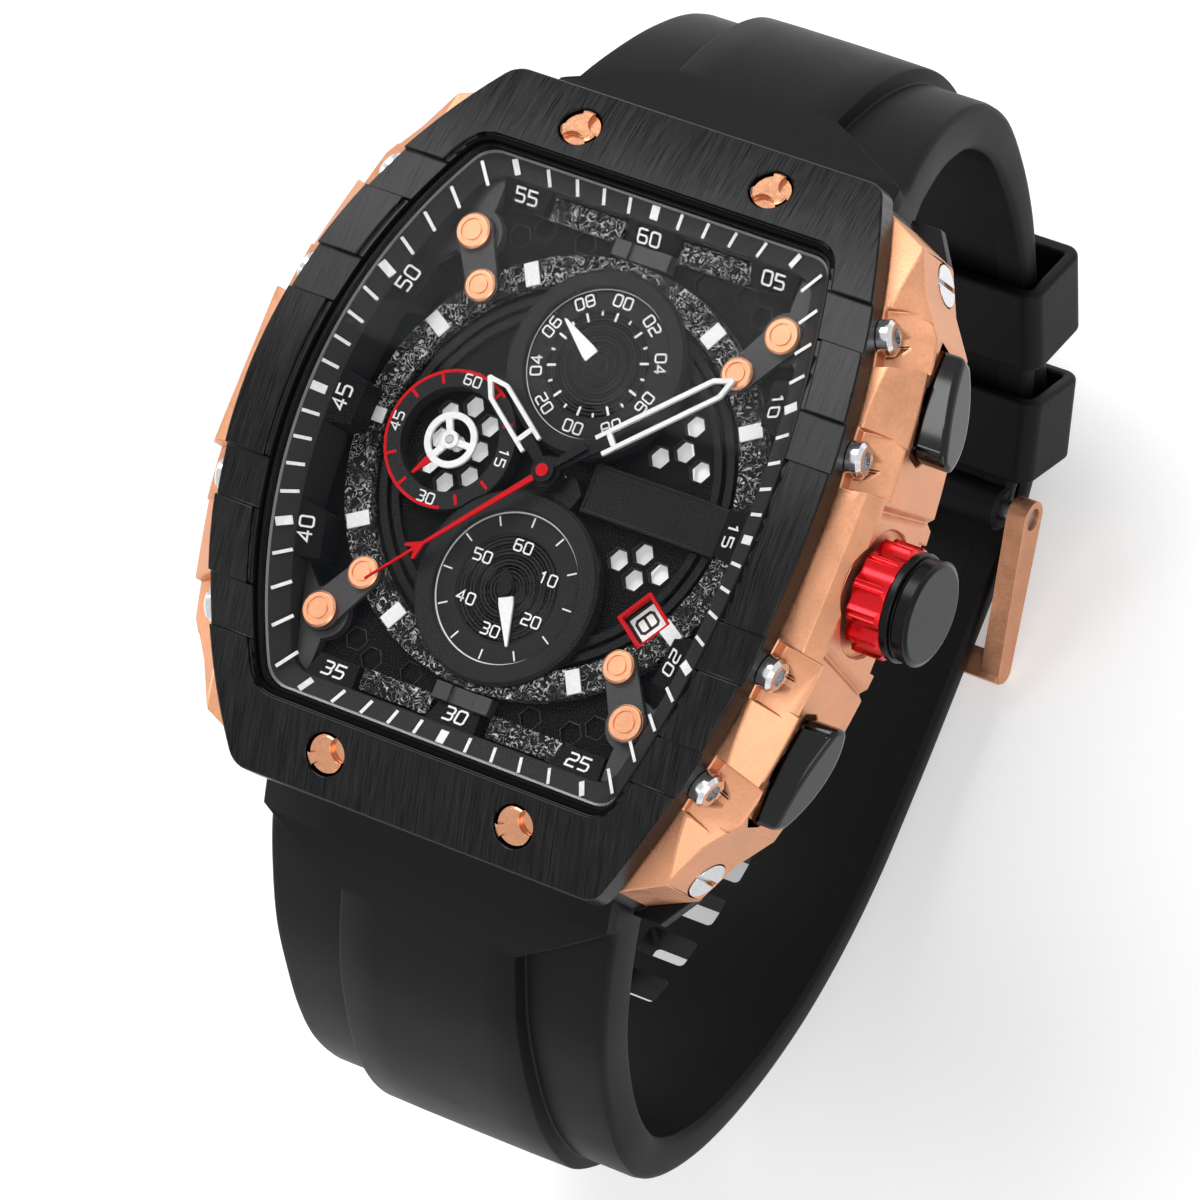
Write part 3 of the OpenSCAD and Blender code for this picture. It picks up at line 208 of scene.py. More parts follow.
def brushing_group():
    """Straight brushing along Y: long thin scratches of mixed depth."""
    group, t, gin, gout = new_group("brushing", [("Fineness", 9000.0), ("Stretch", 0.035), ("Low", 0.25),
                                                 ("High", 0.5)], ["Height", "Roughness", "Tone"])
    at = t.add("ShaderNodeSeparateXYZ", Vector=t.add("ShaderNodeTexCoord").outputs["Object"]).outputs
    lean = t.math("ADD", at["X"], t.math("MULTIPLY", at["Y"], 0.06))
    long_y, long_z = (t.math("MULTIPLY", t.math("MULTIPLY", at[axis], gin["Fineness"]), gin["Stretch"])
                      for axis in "YZ")
    join = t.add("ShaderNodeCombineXYZ", X=t.math("MULTIPLY", lean, gin["Fineness"]), Y=long_y, Z=long_z)
    fine = t.noise(join.outputs[0], Scale=0.8, Detail=3.0, Roughness=0.6)
    broad = t.noise(join.outputs[0], Scale=0.13, Detail=2.0, Roughness=0.5)
    mix = t.math("ADD", t.math("MULTIPLY", fine, 0.85), t.math("MULTIPLY", broad, 0.15))
    t.fill(gout, Height=mix, Roughness=t.remap(mix, 0.36, 0.64, gin["Low"], gin["High"]),
           Tone=t.remap(mix, 0.34, 0.66, 0.55, 1.5))
    return group


def bark_group():
    """Fine raised wrinkles, as on a bark-finished ring, with painted highlights on the crests and painted shade
    in the folds.
    """
    group, t, gin, gout = new_group("bark", [("Scale", 1900.0), ("Depth", 1.0)], ["Height", "Mask"])
    where = t.add("ShaderNodeTexCoord").outputs["Object"]
    worm = t.noise(where, Scale=gin["Scale"], Detail=1.0, Roughness=0.4, Distortion=1.6)
    crest = t.remap(t.math("ABSOLUTE", t.math("SUBTRACT", worm, 0.5)), 0.0, 0.06, 1.0, 0.0)
    soft = t.noise(where, Scale=t.math("MULTIPLY", gin["Scale"], 0.35), Detail=2.0)
    height = t.math("MULTIPLY", crest, t.remap(soft, 0.35, 0.6, 0.25, 1.0))
    # Colour scale from crest height: painted highlight on the crests, painted shade in the folds
    t.fill(gout, Height=t.math("MULTIPLY", height, gin["Depth"]), Mask=t.remap(height, 0.15, 0.6, 0.04, 2.2))
    return group


# Materials: one principled shader each, with a group's masks on its colour, roughness and bump

MATERIALS = {}


def new_material(name):
    """A material, its tree and its principled shader."""
    mat = bpy.data.materials.new(name)
    mat.use_nodes = True
    MATERIALS[name] = mat
    return mat, Tree(mat.node_tree), mat.node_tree.nodes["Principled BSDF"]


def finish(name, colour, metallic, group, values, bump=0.05, bump_distance=0.00002, **fixed):
    """A material whose grain comes from one of the shader groups."""
    _, t, shader = new_material(name)
    grain = t.add("ShaderNodeGroup", node_tree=group, **values).outputs
    if "Roughness" in grain:
        fixed["Roughness"] = grain["Roughness"]
    tone = t.add("ShaderNodeVectorMath", operation="SCALE", Vector=colour[:3],
                 Scale=grain.get("Tone") or grain["Mask"])
    height = t.add("ShaderNodeBump", Strength=bump, Distance=bump_distance, Height=grain["Height"])
    t.fill(shader, Metallic=metallic, Base_Color=tone.outputs[0], Normal=height.outputs[0], **fixed)


def crystal_finish():
    """Clear coated crystal: it lets the dial through and keeps a faint gloss."""
    _, t, shader = new_material("sapphire_clear")
    t.fill(shader, Base_Color=(0.02, 0.025, 0.03, 1), Roughness=0.03, Specular_IOR_Level=0.35, Alpha=0.04)


# Finishes with fine grain: colour or the setting that holds it, metallic, roughness from and to, bump,
# specular level
GRAINED = {
    "rose_polish": ("rose", 1.0, 0.14, 0.24, 0.02, 0.5),
    "red_metal": ("accent", 0.75, 0.14, 0.24, 0.02, 0.5),
    "print_red": ("accent", 0.0, 0.3, 0.4, 0.01, 0.1),
    "print_white": ("print_white", 0.0, 0.35, 0.45, 0.01, 0.5),
    # A light grey metal for the bezel's broken edges: a painted highlight
    "bezel_edge": ((0.5, 0.5, 0.51), 1.0, 0.2, 0.3, 0.02, 0.5),
    # A flat deeper black for the bezel's opening wall and lip: painted shade of the groove
    "gap_black": ((0.003, 0.003, 0.003), 0.0, 0.5, 0.6, 0.05, 0.03),
    "case_black": ((0.007, 0.007, 0.008), 0.3, 0.35, 0.5, 0.05, 0.15),
    "gloss_black": ((0.002, 0.002, 0.0024), 0.0, 0.08, 0.14, 0.01, 0.3),
    "cap_black": ((0.010, 0.010, 0.011), 0.7, 0.24, 0.32, 0.02, 0.2),
    "steel_polish": ((0.62, 0.63, 0.65), 1.0, 0.1, 0.18, 0.03, 0.5),
    "flange_grey": ((0.026, 0.026, 0.027), 0.0, 0.5, 0.65, 0.04, 0.1),
    # A lighter grey for the flange's step and lip: a painted highlight on its edge
    "flange_edge": ((0.16, 0.16, 0.165), 0.3, 0.35, 0.45, 0.02, 0.5),
    "pad_black": ((0.006, 0.006, 0.0065), 0.0, 0.45, 0.6, 0.04, 0.06),
    "dial_black": ((0.004, 0.004, 0.0043), 0.0, 0.4, 0.5, 0.04, 0.06),
    "rim_black": ((0.017, 0.017, 0.018), 0.0, 0.4, 0.55, 0.03, 0.12),
    "turned_black": ((0.018, 0.018, 0.019), 0.8, 0.2, 0.3, 0.02, 0.1),
    "hand_black": ((0.010, 0.010, 0.011), 0.2, 0.3, 0.4, 0.02, 0.15),
    "bracket_grey": ((0.06, 0.06, 0.062), 0.5, 0.35, 0.5, 0.05, 0.2),
    # A lighter grey that paints highlights on the lattice's rims and on the edges of the dial's black rings
    "web_grey": ((0.045, 0.045, 0.047), 0.5, 0.25, 0.35, 0.02, 0.2),
    "arc_black": ((0.012, 0.012, 0.0125), 0.4, 0.3, 0.4, 0.03, 0.15),
    "print_black": ((0.006, 0.006, 0.006), 0.0, 0.4, 0.5, 0.01, 0.5),
    "gasket_rubber": ((0.01, 0.01, 0.01), 0.0, 0.3, 0.4, 0.05, 0.1),
    "plastic_pale": ((0.6, 0.6, 0.58), 0.0, 0.4, 0.5, 0.05, 0.5),
}
# The nodes that each finish goes on
FINISH_OF = {
    "bezel_black": ["bezel"], "case_black": ["mid_case"], "gloss_black": ["pusher_upper", "pusher_lower"],
    "cap_black": ["crown_cap"], "red_metal": ["crown_grip"],
    "rose_satin": ["side_plate_right", "side_plate_left", "buckle_frame", "buckle_tang"],
    "rose_light": ["link_studs"], "rose_polish": ["bezel_screws"],
    "steel_polish": ["side_screws", "lug_screws", "back_screws", "crown_tube", "pusher_tubes", "center_post"],
    "steel_dark": ["strap_bars", "crown_stem", "movement", "battery", "buckle_pin"],
    "back_steel": ["case_back"], "flange_grey": ["flange_ring"], "dial_black": ["dial_plate"],
    "rim_black": ["small_dial_12", "small_dial_6", "small_dial_9"], "arc_black": ["arc_rings", "name_bar"],
    "bracket_grey": ["corner_brackets", "corner_links", "dial_clips"],
    "bark_grey": ["chapter_ring", "dial_strips"],
    "print_white": ["hour_markers", "hour_hand", "minute_hand", "hand_12", "hand_6", "wheel_9"],
    "underlay_white": ["dial_underlay", "date_disc"], "print_red": ["date_frame", "seconds_hand"],
    "strap_rubber": ["strap_upper", "strap_lower", "keeper_fixed", "keeper_free"],
    "gasket_rubber": ["back_gasket", "crystal_gasket"], "plastic_pale": ["movement_ring"],
    "sapphire_clear": ["crystal"],
}


# Mesh helpers

def add_object(name, data):
    """Links a new object with this data to the scene."""
    holder = bpy.data.objects.new(name, data)
    bpy.context.scene.collection.objects.link(holder)
    return holder


def opened(data, factor=1.0, weld=None):
    """A mesh as a bmesh, with vertices closer than weld joined, and then scaled by a factor."""
    bm = bmesh.new()
    bm.from_mesh(data)
    if weld is not None:
        bmesh.ops.remove_doubles(bm, verts=bm.verts, dist=weld)
    if factor != 1.0:
        bmesh.ops.scale(bm, vec=(factor,) * 3, verts=bm.verts)
    return bm


def raw_mesh(name, bm):
    """Turns a bmesh into a mesh as it is."""
    data = bpy.data.meshes.new(name)
    bm.to_mesh(data)
    bm.free()
    return data


def place(name, data, body, slot, *materials):
    """Links a mesh as a piece of the watch that rides on a body."""
    piece = add_object(name, data)
    if not data.materials:
        for material in materials:
            data.materials.append(MATERIALS[material])
    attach(piece, body)
    return piece


def mesh_from(name, bm, smooth=None):
    """Turns a bmesh in millimetres into a mesh in metres, smooth below an angle in degrees."""
    bmesh.ops.scale(bm, vec=(MM, MM, MM), verts=bm.verts)
    bmesh.ops.recalc_face_normals(bm, faces=bm.faces)
    data = raw_mesh(name, bm)
    if smooth is not None:
        shade(data, smooth)
    return data


def place_bm(name, bm, smooth, body, slot, *materials):
    """Places a bmesh in millimetres as a piece."""
    return place(name, mesh_from(name, bm, smooth), body, slot, *materials)


def shade(data, angle):
    """Smooth shading with edges sharper than the angle kept sharp."""
    limit = math.radians(angle)
    bm = opened(data)
    for face in bm.faces:
        face.smooth = True
    for edge in bm.edges:
        edge.smooth = not (len(edge.link_faces) == 2 and edge.calc_face_angle(0) > limit)
    bm.to_mesh(data)
    bm.free()


# Vertices closer than this, in metres, are one
SAME_SPOT = 1e-7
# A pusher's head lies beyond this X; its shank keeps sharp edges, so that it runs free in its bore
PUSH_HEAD_X = 19.5
# Faces that meet at less than this are one flat face
FLAT = math.radians(0.3)
# Bevels are tried by their share of the wanted width and whether Blender may narrow them further
BEVEL_TRIES = ((1, False), (0.5, False), (0.25, False), (0.5, True))
# A bevel wider than this, in metres, is rounded in five steps, others in two
WIDE_BEVEL = 0.0002
# A try is kept if it changes the part's area by a share between these
LEAST_CHANGE, MOST_CHANGE = -0.12, 0.004
# Parts whose vertices are joined within a wider distance, in metres, so that a bevel can run past them
WELDED, WELD = ("side_plate_right", "side_plate_left"), 0.00004
# Parts whose broken edges have a finish of their own: real polish on the rose parts; a lighter colour on the
# bezel, the arc rings, the small dials and the name bar, a painted highlight
EDGE_POLISH_AND_SHEEN = {"side_plate_right": "rose_polish", "side_plate_left": "rose_polish", "bezel": "bezel_edge",
            "buckle_frame": "rose_polish", "chapter_ring": "bracket_grey", "arc_rings": "web_grey",
            "small_dial_12": "web_grey", "small_dial_6": "web_grey", "small_dial_9": "web_grey",
            "link_studs": "rose_polish", "name_bar": "web_grey"}


def merged_copy(node_name, name, bevel, angle):
    """A joined-up copy of a CAD node's mesh, its sharp edges broken, by a narrower bevel if need be."""
    limit = math.radians(angle)
    bm = opened(NODES[node_name].data, weld=SAME_SPOT)
    if node_name in WELDED:
        bm = without_slivers(bm)
        bmesh.ops.remove_doubles(bm, verts=bm.verts, dist=WELD)
    area = sum(face.calc_area() for face in bm.faces)
    keep_pierced(bm)
    bmesh.ops.dissolve_limit(bm, angle_limit=FLAT, verts=bm.verts, edges=bm.edges, delimit={"SEAM"})
    pusher = node_name.startswith("pusher")
    if pusher:
        weight = bm.edges.layers.float.new("bevel_weight_edge")
        for edge in bm.edges:
            sharp = len(edge.link_faces) == 2 and edge.calc_face_angle(0) > limit
            edge[weight] = float(sharp and min(vert.co.x for vert in edge.verts) > PUSH_HEAD_X * MM)
    data = raw_mesh(name, bm)
    # One slot for the part and one for its broken edges; edge_break puts the real finishes in
    for _ in range(2):
        data.materials.append(MATERIALS["rose_polish"])
    shade(data, angle)
    for share, clamp in BEVEL_TRIES:
        holder = add_object(name + "_work", data.copy())
        mod = holder.modifiers.new("edge", "BEVEL")
        mod.width = bevel * share
        mod.segments = 5 if bevel > WIDE_BEVEL else 2
        mod.limit_method = "WEIGHT" if pusher else "ANGLE"
        mod.angle_limit = limit
        mod.material = 1 if node_name in EDGE_POLISH_AND_SHEEN else -1
        mod.use_clamp_overlap = clamp
        holder.modifiers.new("even", "WEIGHTED_NORMAL").keep_sharp = True
        broken = bake_down(holder, name)
        broken.calc_loop_triangles()
        change = sum(face.area for face in broken.loop_triangles) / area - 1
        if clamp or (LEAST_CHANGE < change < MOST_CHANGE and inside(broken, data)):
            break
        bpy.data.meshes.remove(broken)
    bpy.data.meshes.remove(data)
    return broken


def keep_pierced(bm):
    """Marks the inner edges of flat regions with holes, so that they aren't joined into one face."""
    flat = {e for e in bm.edges if len(e.link_faces) == 2 and e.calc_face_angle(9) < FLAT}
    seen = set()
    for first in bm.faces:
        if first in seen:
            continue
        group, stack = {first}, [first]
        while stack:
            for edge in stack.pop().edges:
                if edge in flat:
                    new = [face for face in edge.link_faces if face not in group]
                    group.update(new)
                    stack += new
        seen |= group
        edges = {edge for face in group for edge in face.edges}
        verts = {vert for face in group for vert in face.verts}
        if len(verts) - len(edges) + len(group) != 1:
            for edge in edges & flat:
                edge.seam = True


def inside(data, whole, slack=2e-5):
    """Whether a mesh stays within another's box, give or take a slack in metres."""
    for k in range(3):
        near, far = ([f(v.co[k] for v in mesh.vertices) for f in (min, max)] for mesh in (data, whole))
        if near[0] < far[0] - slack or near[1] > far[1] + slack:
            return False
    return True


def bake_down(holder, name):
    """The evaluated mesh of a working object, which is then removed."""
    graph = bpy.context.evaluated_depsgraph_get()
    data = bpy.data.meshes.new_from_object(holder.evaluated_get(graph), depsgraph=graph)
    data.name = name
    old = holder.data
    bpy.data.objects.remove(holder)
    if old.users == 0:
        bpy.data.meshes.remove(old)
    return data


def on_circle(radius, angle):
    """The point of a circle at an angle in degrees."""
    return radius * math.cos(math.radians(angle)), radius * math.sin(math.radians(angle))


def ring_points(radius, count, start, end):
    """Points along an arc, its angles in degrees."""
    return [on_circle(radius, start + (end - start) * i / count) for i in range(count + 1)]


def skin(bm, rows, closed=True):
    """Faces between each row of vertices and the next. Closed rows join their ends."""
    for a, b in zip(rows, rows[1:]):
        for i in range(len(a) if closed else len(a) - 1):
            j = (i + 1) % len(a)
            bm.faces.new((a[i], a[j], b[j], b[i]))


def prism(bm, low, high):
    """A closed block between two rings of vertices."""
    bm.faces.new(high)
    bm.faces.new(low[::-1])
    skin(bm, (low, high))


def tube(bm, rows):
    """A closed body along many rings of vertices."""
    skin(bm, rows)
    bm.faces.new(rows[0])
    bm.faces.new(rows[-1][::-1])


def slab(bm, outline, z0, z1):
    """A flat block over a 2-D outline."""
    prism(bm, *([bm.verts.new((x, y, z)) for x, y in outline] for z in (z0, z1)))


def annulus(bm, centre, r0, r1, z0, z1, count=96, start=0.0, end=360.0):
    """A flat ring or an arc of one."""
    full = abs(end - start) >= 360
    inner, outer = ring_points(r0, count, start, end), ring_points(r1, count, start, end)
    rows = []
    for pts, z in ((inner, z0), (outer, z0), (outer, z1), (inner, z1)):
        rows.append([bm.verts.new((x + centre[0], y + centre[1], z))
                     for x, y in (pts[:-1] if full else pts)])
    skin(bm, rows + rows[:1], full)
    if not full:
        for i in (0, -1):
            bm.faces.new([row[i] for row in rows])


# The paths of each digit's strokes, in a field 1 wide and 1.4 high
ROUND = ((0.17, 0), (0.83, 0), (1, 0.17), (1, 1.23), (0.83, 1.4), (0.17, 1.4), (0, 1.23), (0, 0.17),
         (0.17, 0))
STROKES = {
    "0": (ROUND,),
    "1": (((0.2, 1.12), (0.55, 1.4), (0.55, 0)),),
    "2": (((0, 1.4), (0.83, 1.4), (1, 1.23), (1, 0.87), (0.83, 0.7), (0.17, 0.7), (0, 0.53), (0, 0),
           (1, 0)),),
    "3": (((0, 1.4), (0.83, 1.4), (1, 1.23), (1, 0.87), (0.83, 0.7), (0.25, 0.7)),
          ((0.83, 0.7), (1, 0.53), (1, 0.17), (0.83, 0), (0, 0))),
    "4": (((0.72, 0), (0.72, 1.4), (0, 0.45), (1.02, 0.45)),),
    "5": (((1, 1.4), (0, 1.4), (0, 0.78), (0.83, 0.78), (1, 0.61), (1, 0.17), (0.83, 0), (0, 0)),),
    "6": (((0.95, 1.4), (0.17, 1.4), (0, 1.23), (0, 0.17), (0.17, 0), (0.83, 0), (1, 0.17), (1, 0.6),
           (0.83, 0.77), (0, 0.77)),),
    "7": (((0, 1.4), (1, 1.4), (0.42, 0)),),
    "8": (ROUND, ((0, 0.7), (1, 0.7))),
    "9": (((0.05, 0), (0.83, 0), (1, 0.17), (1, 1.23), (0.83, 1.4), (0.17, 1.4), (0, 1.23), (0, 0.8),
           (0.17, 0.63), (1, 0.63)),),
}


# Digits' height, the step from one to the next, and half a stroke's width
DIGIT_H, PITCH, STROKE_HALF = 1.4, 1.42, 0.115 * 0.9


def stroke(bm, points, half, move, height):
    """A flat band of even width along a path of 2-D points, mitred at its bends."""
    pts = [Vector(p) for p in points]
    closed = (pts[0] - pts[-1]).length < 1e-6
    if closed:
        pts.pop()
    n = len(pts)
    rows = []
    for i in range(n):
        before = (pts[i] - pts[i - 1]).normalized() if i or closed else None
        after = (pts[(i + 1) % n] - pts[i]).normalized() if i < n - 1 or closed else None
        before, after = before or after, after or before
        normal = Vector((-(before + after).y, (before + after).x)).normalized()
        reach = half / max(0.45, normal.dot(Vector((-after.y, after.x))))
        side = normal * reach
        rows.append([bm.verts.new(move @ Vector((q.x, q.y, z))) for q in (pts[i] + side, pts[i] - side)
                     for z in (0, height)])
    for i in range(n if closed else n - 1):
        a, b = rows[i], rows[(i + 1) % n]
        for j, k in ((0, 1), (1, 3), (3, 2), (2, 0)):
            bm.faces.new((a[j], a[k], b[k], b[j]))
    if not closed:
        for row in (rows[0], rows[-1]):
            bm.faces.new((row[0], row[1], row[3], row[2]))


def number(bm, text, size, at, height=0.03):
    """A plain squared number of a given height, centred in its own X-Y plane, which at puts in place."""
    k = size / DIGIT_H
    wide = (len(text) * PITCH - PITCH + 1) * k
    for i, digit in enumerate(text):
        for path in STROKES[digit]:
            shifted = [(x * k + i * PITCH * k - wide / 2, y * k - size / 2) for x, y in path]
            stroke(bm, shifted, STROKE_HALF * k, at, height)


def flat_turn(x, y, z, turn):
    """Placement on a level face, turned by an angle in degrees."""
    return Matrix.Translation((x, y, z)) @ Matrix.Rotation(math.radians(turn), 4, "Z")


# Outline over a side plate's middle facets, as (x, z)
MIDDLE_FACETS = ((20.5, 12.45), (22.17, 12.095), (23.6, 9.8), (23.6, 15), (20.5, 15))
# A point on the leaning facet by a lug, and the way that it faces
LUG_POINT, LUG_NORMAL = (19.8, 11, 11.216), (0.6557, 0.1994, 0.7282)


def lug_facet(y):
    """Outline over a side plate's leaning facet at y, as (x, z)."""
    (px, py, pz), (nx, ny, nz) = LUG_POINT, LUG_NORMAL
    near, far = (pz - (nx * (x - px) + ny * (y - py)) / nz for x in (18, 24))
    return (18, near), (24, far), (24, 16), (18, 16)


def without_slivers(bm):
    """A side plate, in metres, less the slivers left standing between its facets and its screws' pockets."""
    tool = bmesh.new()
    spans = (((MIDDLE_FACETS, 4.9), (MIDDLE_FACETS, 5.8)),
             ((lug_facet(13.2), 13.2), (lug_facet(14.4), 14.4)))
    for side in (-1, 1):
        for turn in (-1, 1):
            for span in spans:
                tube(tool, [[tool.verts.new((side * x, turn * y, z)) for x, z in outline]
                            for outline, y in span])
    bmesh.ops.scale(bm, vec=(1 / MM,) * 3, verts=bm.verts)
    data = cut("side_plate", bm, tool)
    whole = opened(data)
    bpy.data.meshes.remove(data)
    return whole


def edge_break(node, bevel, angle):
    """Stands a copy with broken edges in for a CAD node; listed parts take an edge finish of their own, real
    polish on the rose parts and a lighter painted highlight on the bezel and the dial's black rings.
    """
    data = merged_copy(node, node + "_finished", bevel * MM, angle)
    source = NODES[node].data.materials
    data.materials.clear()
    for material in source:
        data.materials.append(material)
    if node in EDGE_POLISH_AND_SHEEN:
        data.materials.append(MATERIALS[EDGE_POLISH_AND_SHEEN[node]])
    if node == "bezel":
        # The opening's wall and lip are painted a deeper black: painted shade
        blacken_wall(data)
    piece = place(node + "_finished", data, BODY_OF[node], SLOT_OF[node])
    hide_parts(node)


def blacken_wall(data):
    """Paints the wall round the bezel's opening, and its lip, a flat deeper black: painted shade of the deep
    groove there.
    """
    lip = 0.2
    data.materials.append(MATERIALS["gap_black"])
    for face in data.polygons:
        x, y = abs(face.center.x) / MM, abs(face.center.y) / MM
        if y < OPEN_L + lip and x < side_x(OPEN_W, min(y, OPEN_L)) + lip:
            face.material_index = 2


# Strap

# Stations along the upper and lower half: y, z, half width, thickness, height of the raised band
UPPER = ((22.2, 4.7, 13.2, 3.4, 1.0), (23.6, 4.2, 13.2, 3.6, 1.0), (27.6, 1.9, 12.3, 3.5, 1.0),
         (31.4, -1.7, 11.5, 3.4, 1.0), (33.9, -6.2, 11.1, 3.2, 1.0), (34.4, -11.4, 10.9, 3.0, 0.9),
         (32.9, -16.4, 10.8, 2.7, 0.7), (30.5, -21.0, 10.8, 2.3, 0.3), (27.5, -25.4, 10.7, 1.9, 0),
         (24.45, -29.3, 10.6, 1.8, 0), (20.5, -32.9, 10.5, 1.7, 0), (16.3, -35.7, 10.5, 1.5, 0),
         (12.5, -36.6, 10.5, 1.6, 0))
LOWER = ((-22.2, 4.7, 13.3, 3.4, 1.0), (-23.2, 4.35, 13.3, 3.6, 1.0), (-26.6, 2.5, 13.2, 3.6, 1.0),
         (-29.8, 0.0, 13.0, 3.5, 1.0), (-32.7, -2.8, 12.8, 3.4, 1.0), (-35.1, -6.0, 12.6, 3.3, 1.0),
         (-37.2, -9.5, 12.5, 3.2, 1.0), (-38.7, -13.2, 12.4, 3.1, 1.0), (-39.3, -17.2, 12.2, 3.0, 1.0),
         (-38.5, -21.1, 12.0, 2.9, 0.9), (-36.7, -24.7, 11.8, 2.8, 0.8), (-34.3, -27.9, 11.6, 2.7, 0.7),
         (-31.4, -30.8, 11.4, 2.6, 0.6), (-28.3, -33.3, 11.2, 2.5, 0.5), (-24.9, -35.5, 11.0, 2.4, 0.4),
         (-21.2, -37.3, 10.8, 2.3, 0.2), (-17.4, -38.7, 10.6, 2.2, 0), (-13.4, -39.5, 10.5, 2.1, 0),
         (-9.5, -39.9, 10.4, 2.1, 0), (-5.4, -40.0, 10.4, 2.0, 0), (-1.4, -40.0, 10.4, 2.0, 0),
         (2.6, -39.95, 10.4, 2.0, 0), (6.7, -39.9, 10.4, 2.0, 0), (10.7, -39.75, 10.4, 1.9, 0),
         (14.7, -39.0, 10.4, 1.8, 0), (18.4, -37.4, 10.4, 1.7, 0), (21.7, -35.0, 10.3, 1.7, 0),
         (24.7, -32.2, 9.6, 1.7, 0), (27.5, -29.2, 8.2, 1.6, 0), (29.8, -26.1, 5.6, 1.5, 0))
# Half width of the raised middle band: (station, millimetres)
UPPER_BAND = ((0, 13.2), (1.35, 12.9), (2.05, 6.0), (4, 6.15), (7.5, 6.2), (12, 6.2))
LOWER_BAND = ((0, 13.3), (1.65, 13.2), (2.6, 6.7), (7.2, 7.3), (12, 6.8), (29, 4.0))
# From one ring of a strap's mesh to the next, in stations
STRAP_STEP = 0.125
# Depth of the recess in a strap's inside
RECESS = 0.18


def blended(stations, u):
    """The smooth curve through a strap's stations at u."""
    last = len(stations) - 1
    i = min(int(u), last - 1)
    t = u - i
    near = [stations[k] for k in (max(i - 1, 0), i, i + 1, min(i + 2, last))]
    return [0.5 * (2 * q + (r - p) * t + (2 * p - 5 * q + 4 * r - w) * t * t
                   + (3 * q - p - 3 * r + w) * t ** 3) for p, q, r, w in zip(*near)]


def strap_frame(stations, u, side):
    """Station values at u with the strap's direction and outward normal in the Y-Z plane."""
    last = len(stations) - 1
    a, b = blended(stations, max(u - 0.02, 0)), blended(stations, min(u + 0.02, last))
    t = Vector((b[0] - a[0], b[1] - a[1])).normalized()
    return blended(stations, u), t, Vector((-t.y * side, t.x * side))


def band_at(band, u):
    """Half width of the raised band at u."""
    for (u0, r0), (u1, r1) in zip(band, band[1:]):
        if u <= u1:
            return r0 + (r1 - r0) * (u - u0) / (u1 - u0)
    return band[-1][1]


def strap_profile(w, th, e, r, lip):
    """Half of a strap's section from the middle of its outside round to the middle of its inside."""
    e = max(e, 0.0)
    foot = min(r + 0.34, w)
    return [(0, e + 0.05 * min(1, e)), (r * 0.6, e + 0.04 * min(1, e)), (min(r - 0.14, w - 0.3), e),
            (min(r, w - 0.1), e - min(0.08, e * 0.5)), (min(r + 0.2, w - 0.02), min(0.1, e * 0.4)),
            (foot, 0.0), (max(w - 0.75, foot), 0.0), (max(w - 0.3, foot), -0.1),
            (max(w - 0.08, foot), -0.32), (w, -0.62), (w, -th + 0.55), (w - 0.08, -th + 0.24),
            (w - 0.32, -th), (w - 2.1, -th), (w - 2.25, -th + lip), (0, -th + lip)]


def strap_mesh(stations, band, side):
    """A closed, finely stepped strap with its raised band and a recessed inside, in millimetres."""
    bm = bmesh.new()
    last = len(stations) - 1
    marks = {round(k * STRAP_STEP, 4) for k in range(int(last / STRAP_STEP) + 1)}
    marks |= {u for u, _ in band if u <= last}
    rings = []
    for u in sorted(marks):
        (y, z, w, th, e), _, normal = strap_frame(stations, u, side)
        lip = RECESS * min(1, max(0, (u - 1.5) / 2))
        half = strap_profile(w, th, e, band_at(band, u), lip)
        full = half + [(-x, n) for x, n in half[-2:0:-1]]
        rings.append([bm.verts.new((x, y + normal.x * n, z + normal.y * n)) for x, n in full])
    tube(bm, rings)
    bmesh.ops.remove_doubles(bm, verts=bm.verts, dist=1e-5)
    return bm


def rounded_box(bm, move, x, y, z, r):
    """A block with four rounded upright edges, centred on move, for cutting slots."""
    outline = []
    for cx, cy, a0 in ((x - r, y - r, 0), (r - x, y - r, 90), (r - x, r - y, 180), (x - r, r - y, 270)):
        outline += [(cx + px, cy + py) for px, py in ring_points(r, 3, a0, a0 + 90)]
    prism(bm, *([bm.verts.new(move @ Vector((px, py, h))) for px, py in outline] for h in (-z, z)))


def cut(name, body_bm, tool_bm):
    """The first closed mesh less the second."""
    whole, tool = (add_object(name + label, mesh_from(name + label, bm))
                   for label, bm in (("whole", body_bm), ("tool", tool_bm)))
    mod = whole.modifiers.new("slots", "BOOLEAN")
    mod.operation = "DIFFERENCE"
    mod.object = tool
    mod.solver = "EXACT"
    data = bake_down(whole, name)
    old = tool.data
    bpy.data.objects.remove(tool)
    bpy.data.meshes.remove(old)
    shade(data, 32)
    return data


def on_strap(stations, u, side):
    """Placement at a strap's station: X across, Y along, Z outward, in millimetres."""
    (y, z, *_), t, n = strap_frame(stations, u, side)
    return Matrix(((1, 0, 0, 0), (0, t.x, n.x, y), (0, t.y, n.y, z), (0, 0, 0, 1)))


# Geometry Nodes

def geometry_tree(name, inputs):
    """A geometry tree with one output and inputs (name, kind, default), its inputs and its out node."""
    tree = bpy.data.node_groups.new(name, "GeometryNodeTree")
    kinds = {"float": "NodeSocketFloat", "int": "NodeSocketInt", "vector": "NodeSocketVector",
             "material": "NodeSocketMaterial", "geometry": "NodeSocketGeometry"}
    for label, kind, default in inputs:
        socket = tree.interface.new_socket(name=label, in_out="INPUT", socket_type=kinds[kind])
        if default is not None:
            socket.default_value = default
    tree.interface.new_socket(name="Geometry", in_out="OUTPUT", socket_type="NodeSocketGeometry")
    gin, gout = (tree.nodes.new(kind) for kind in ("NodeGroupInput", "NodeGroupOutput"))
    return tree, Tree(tree), gin.outputs, gout


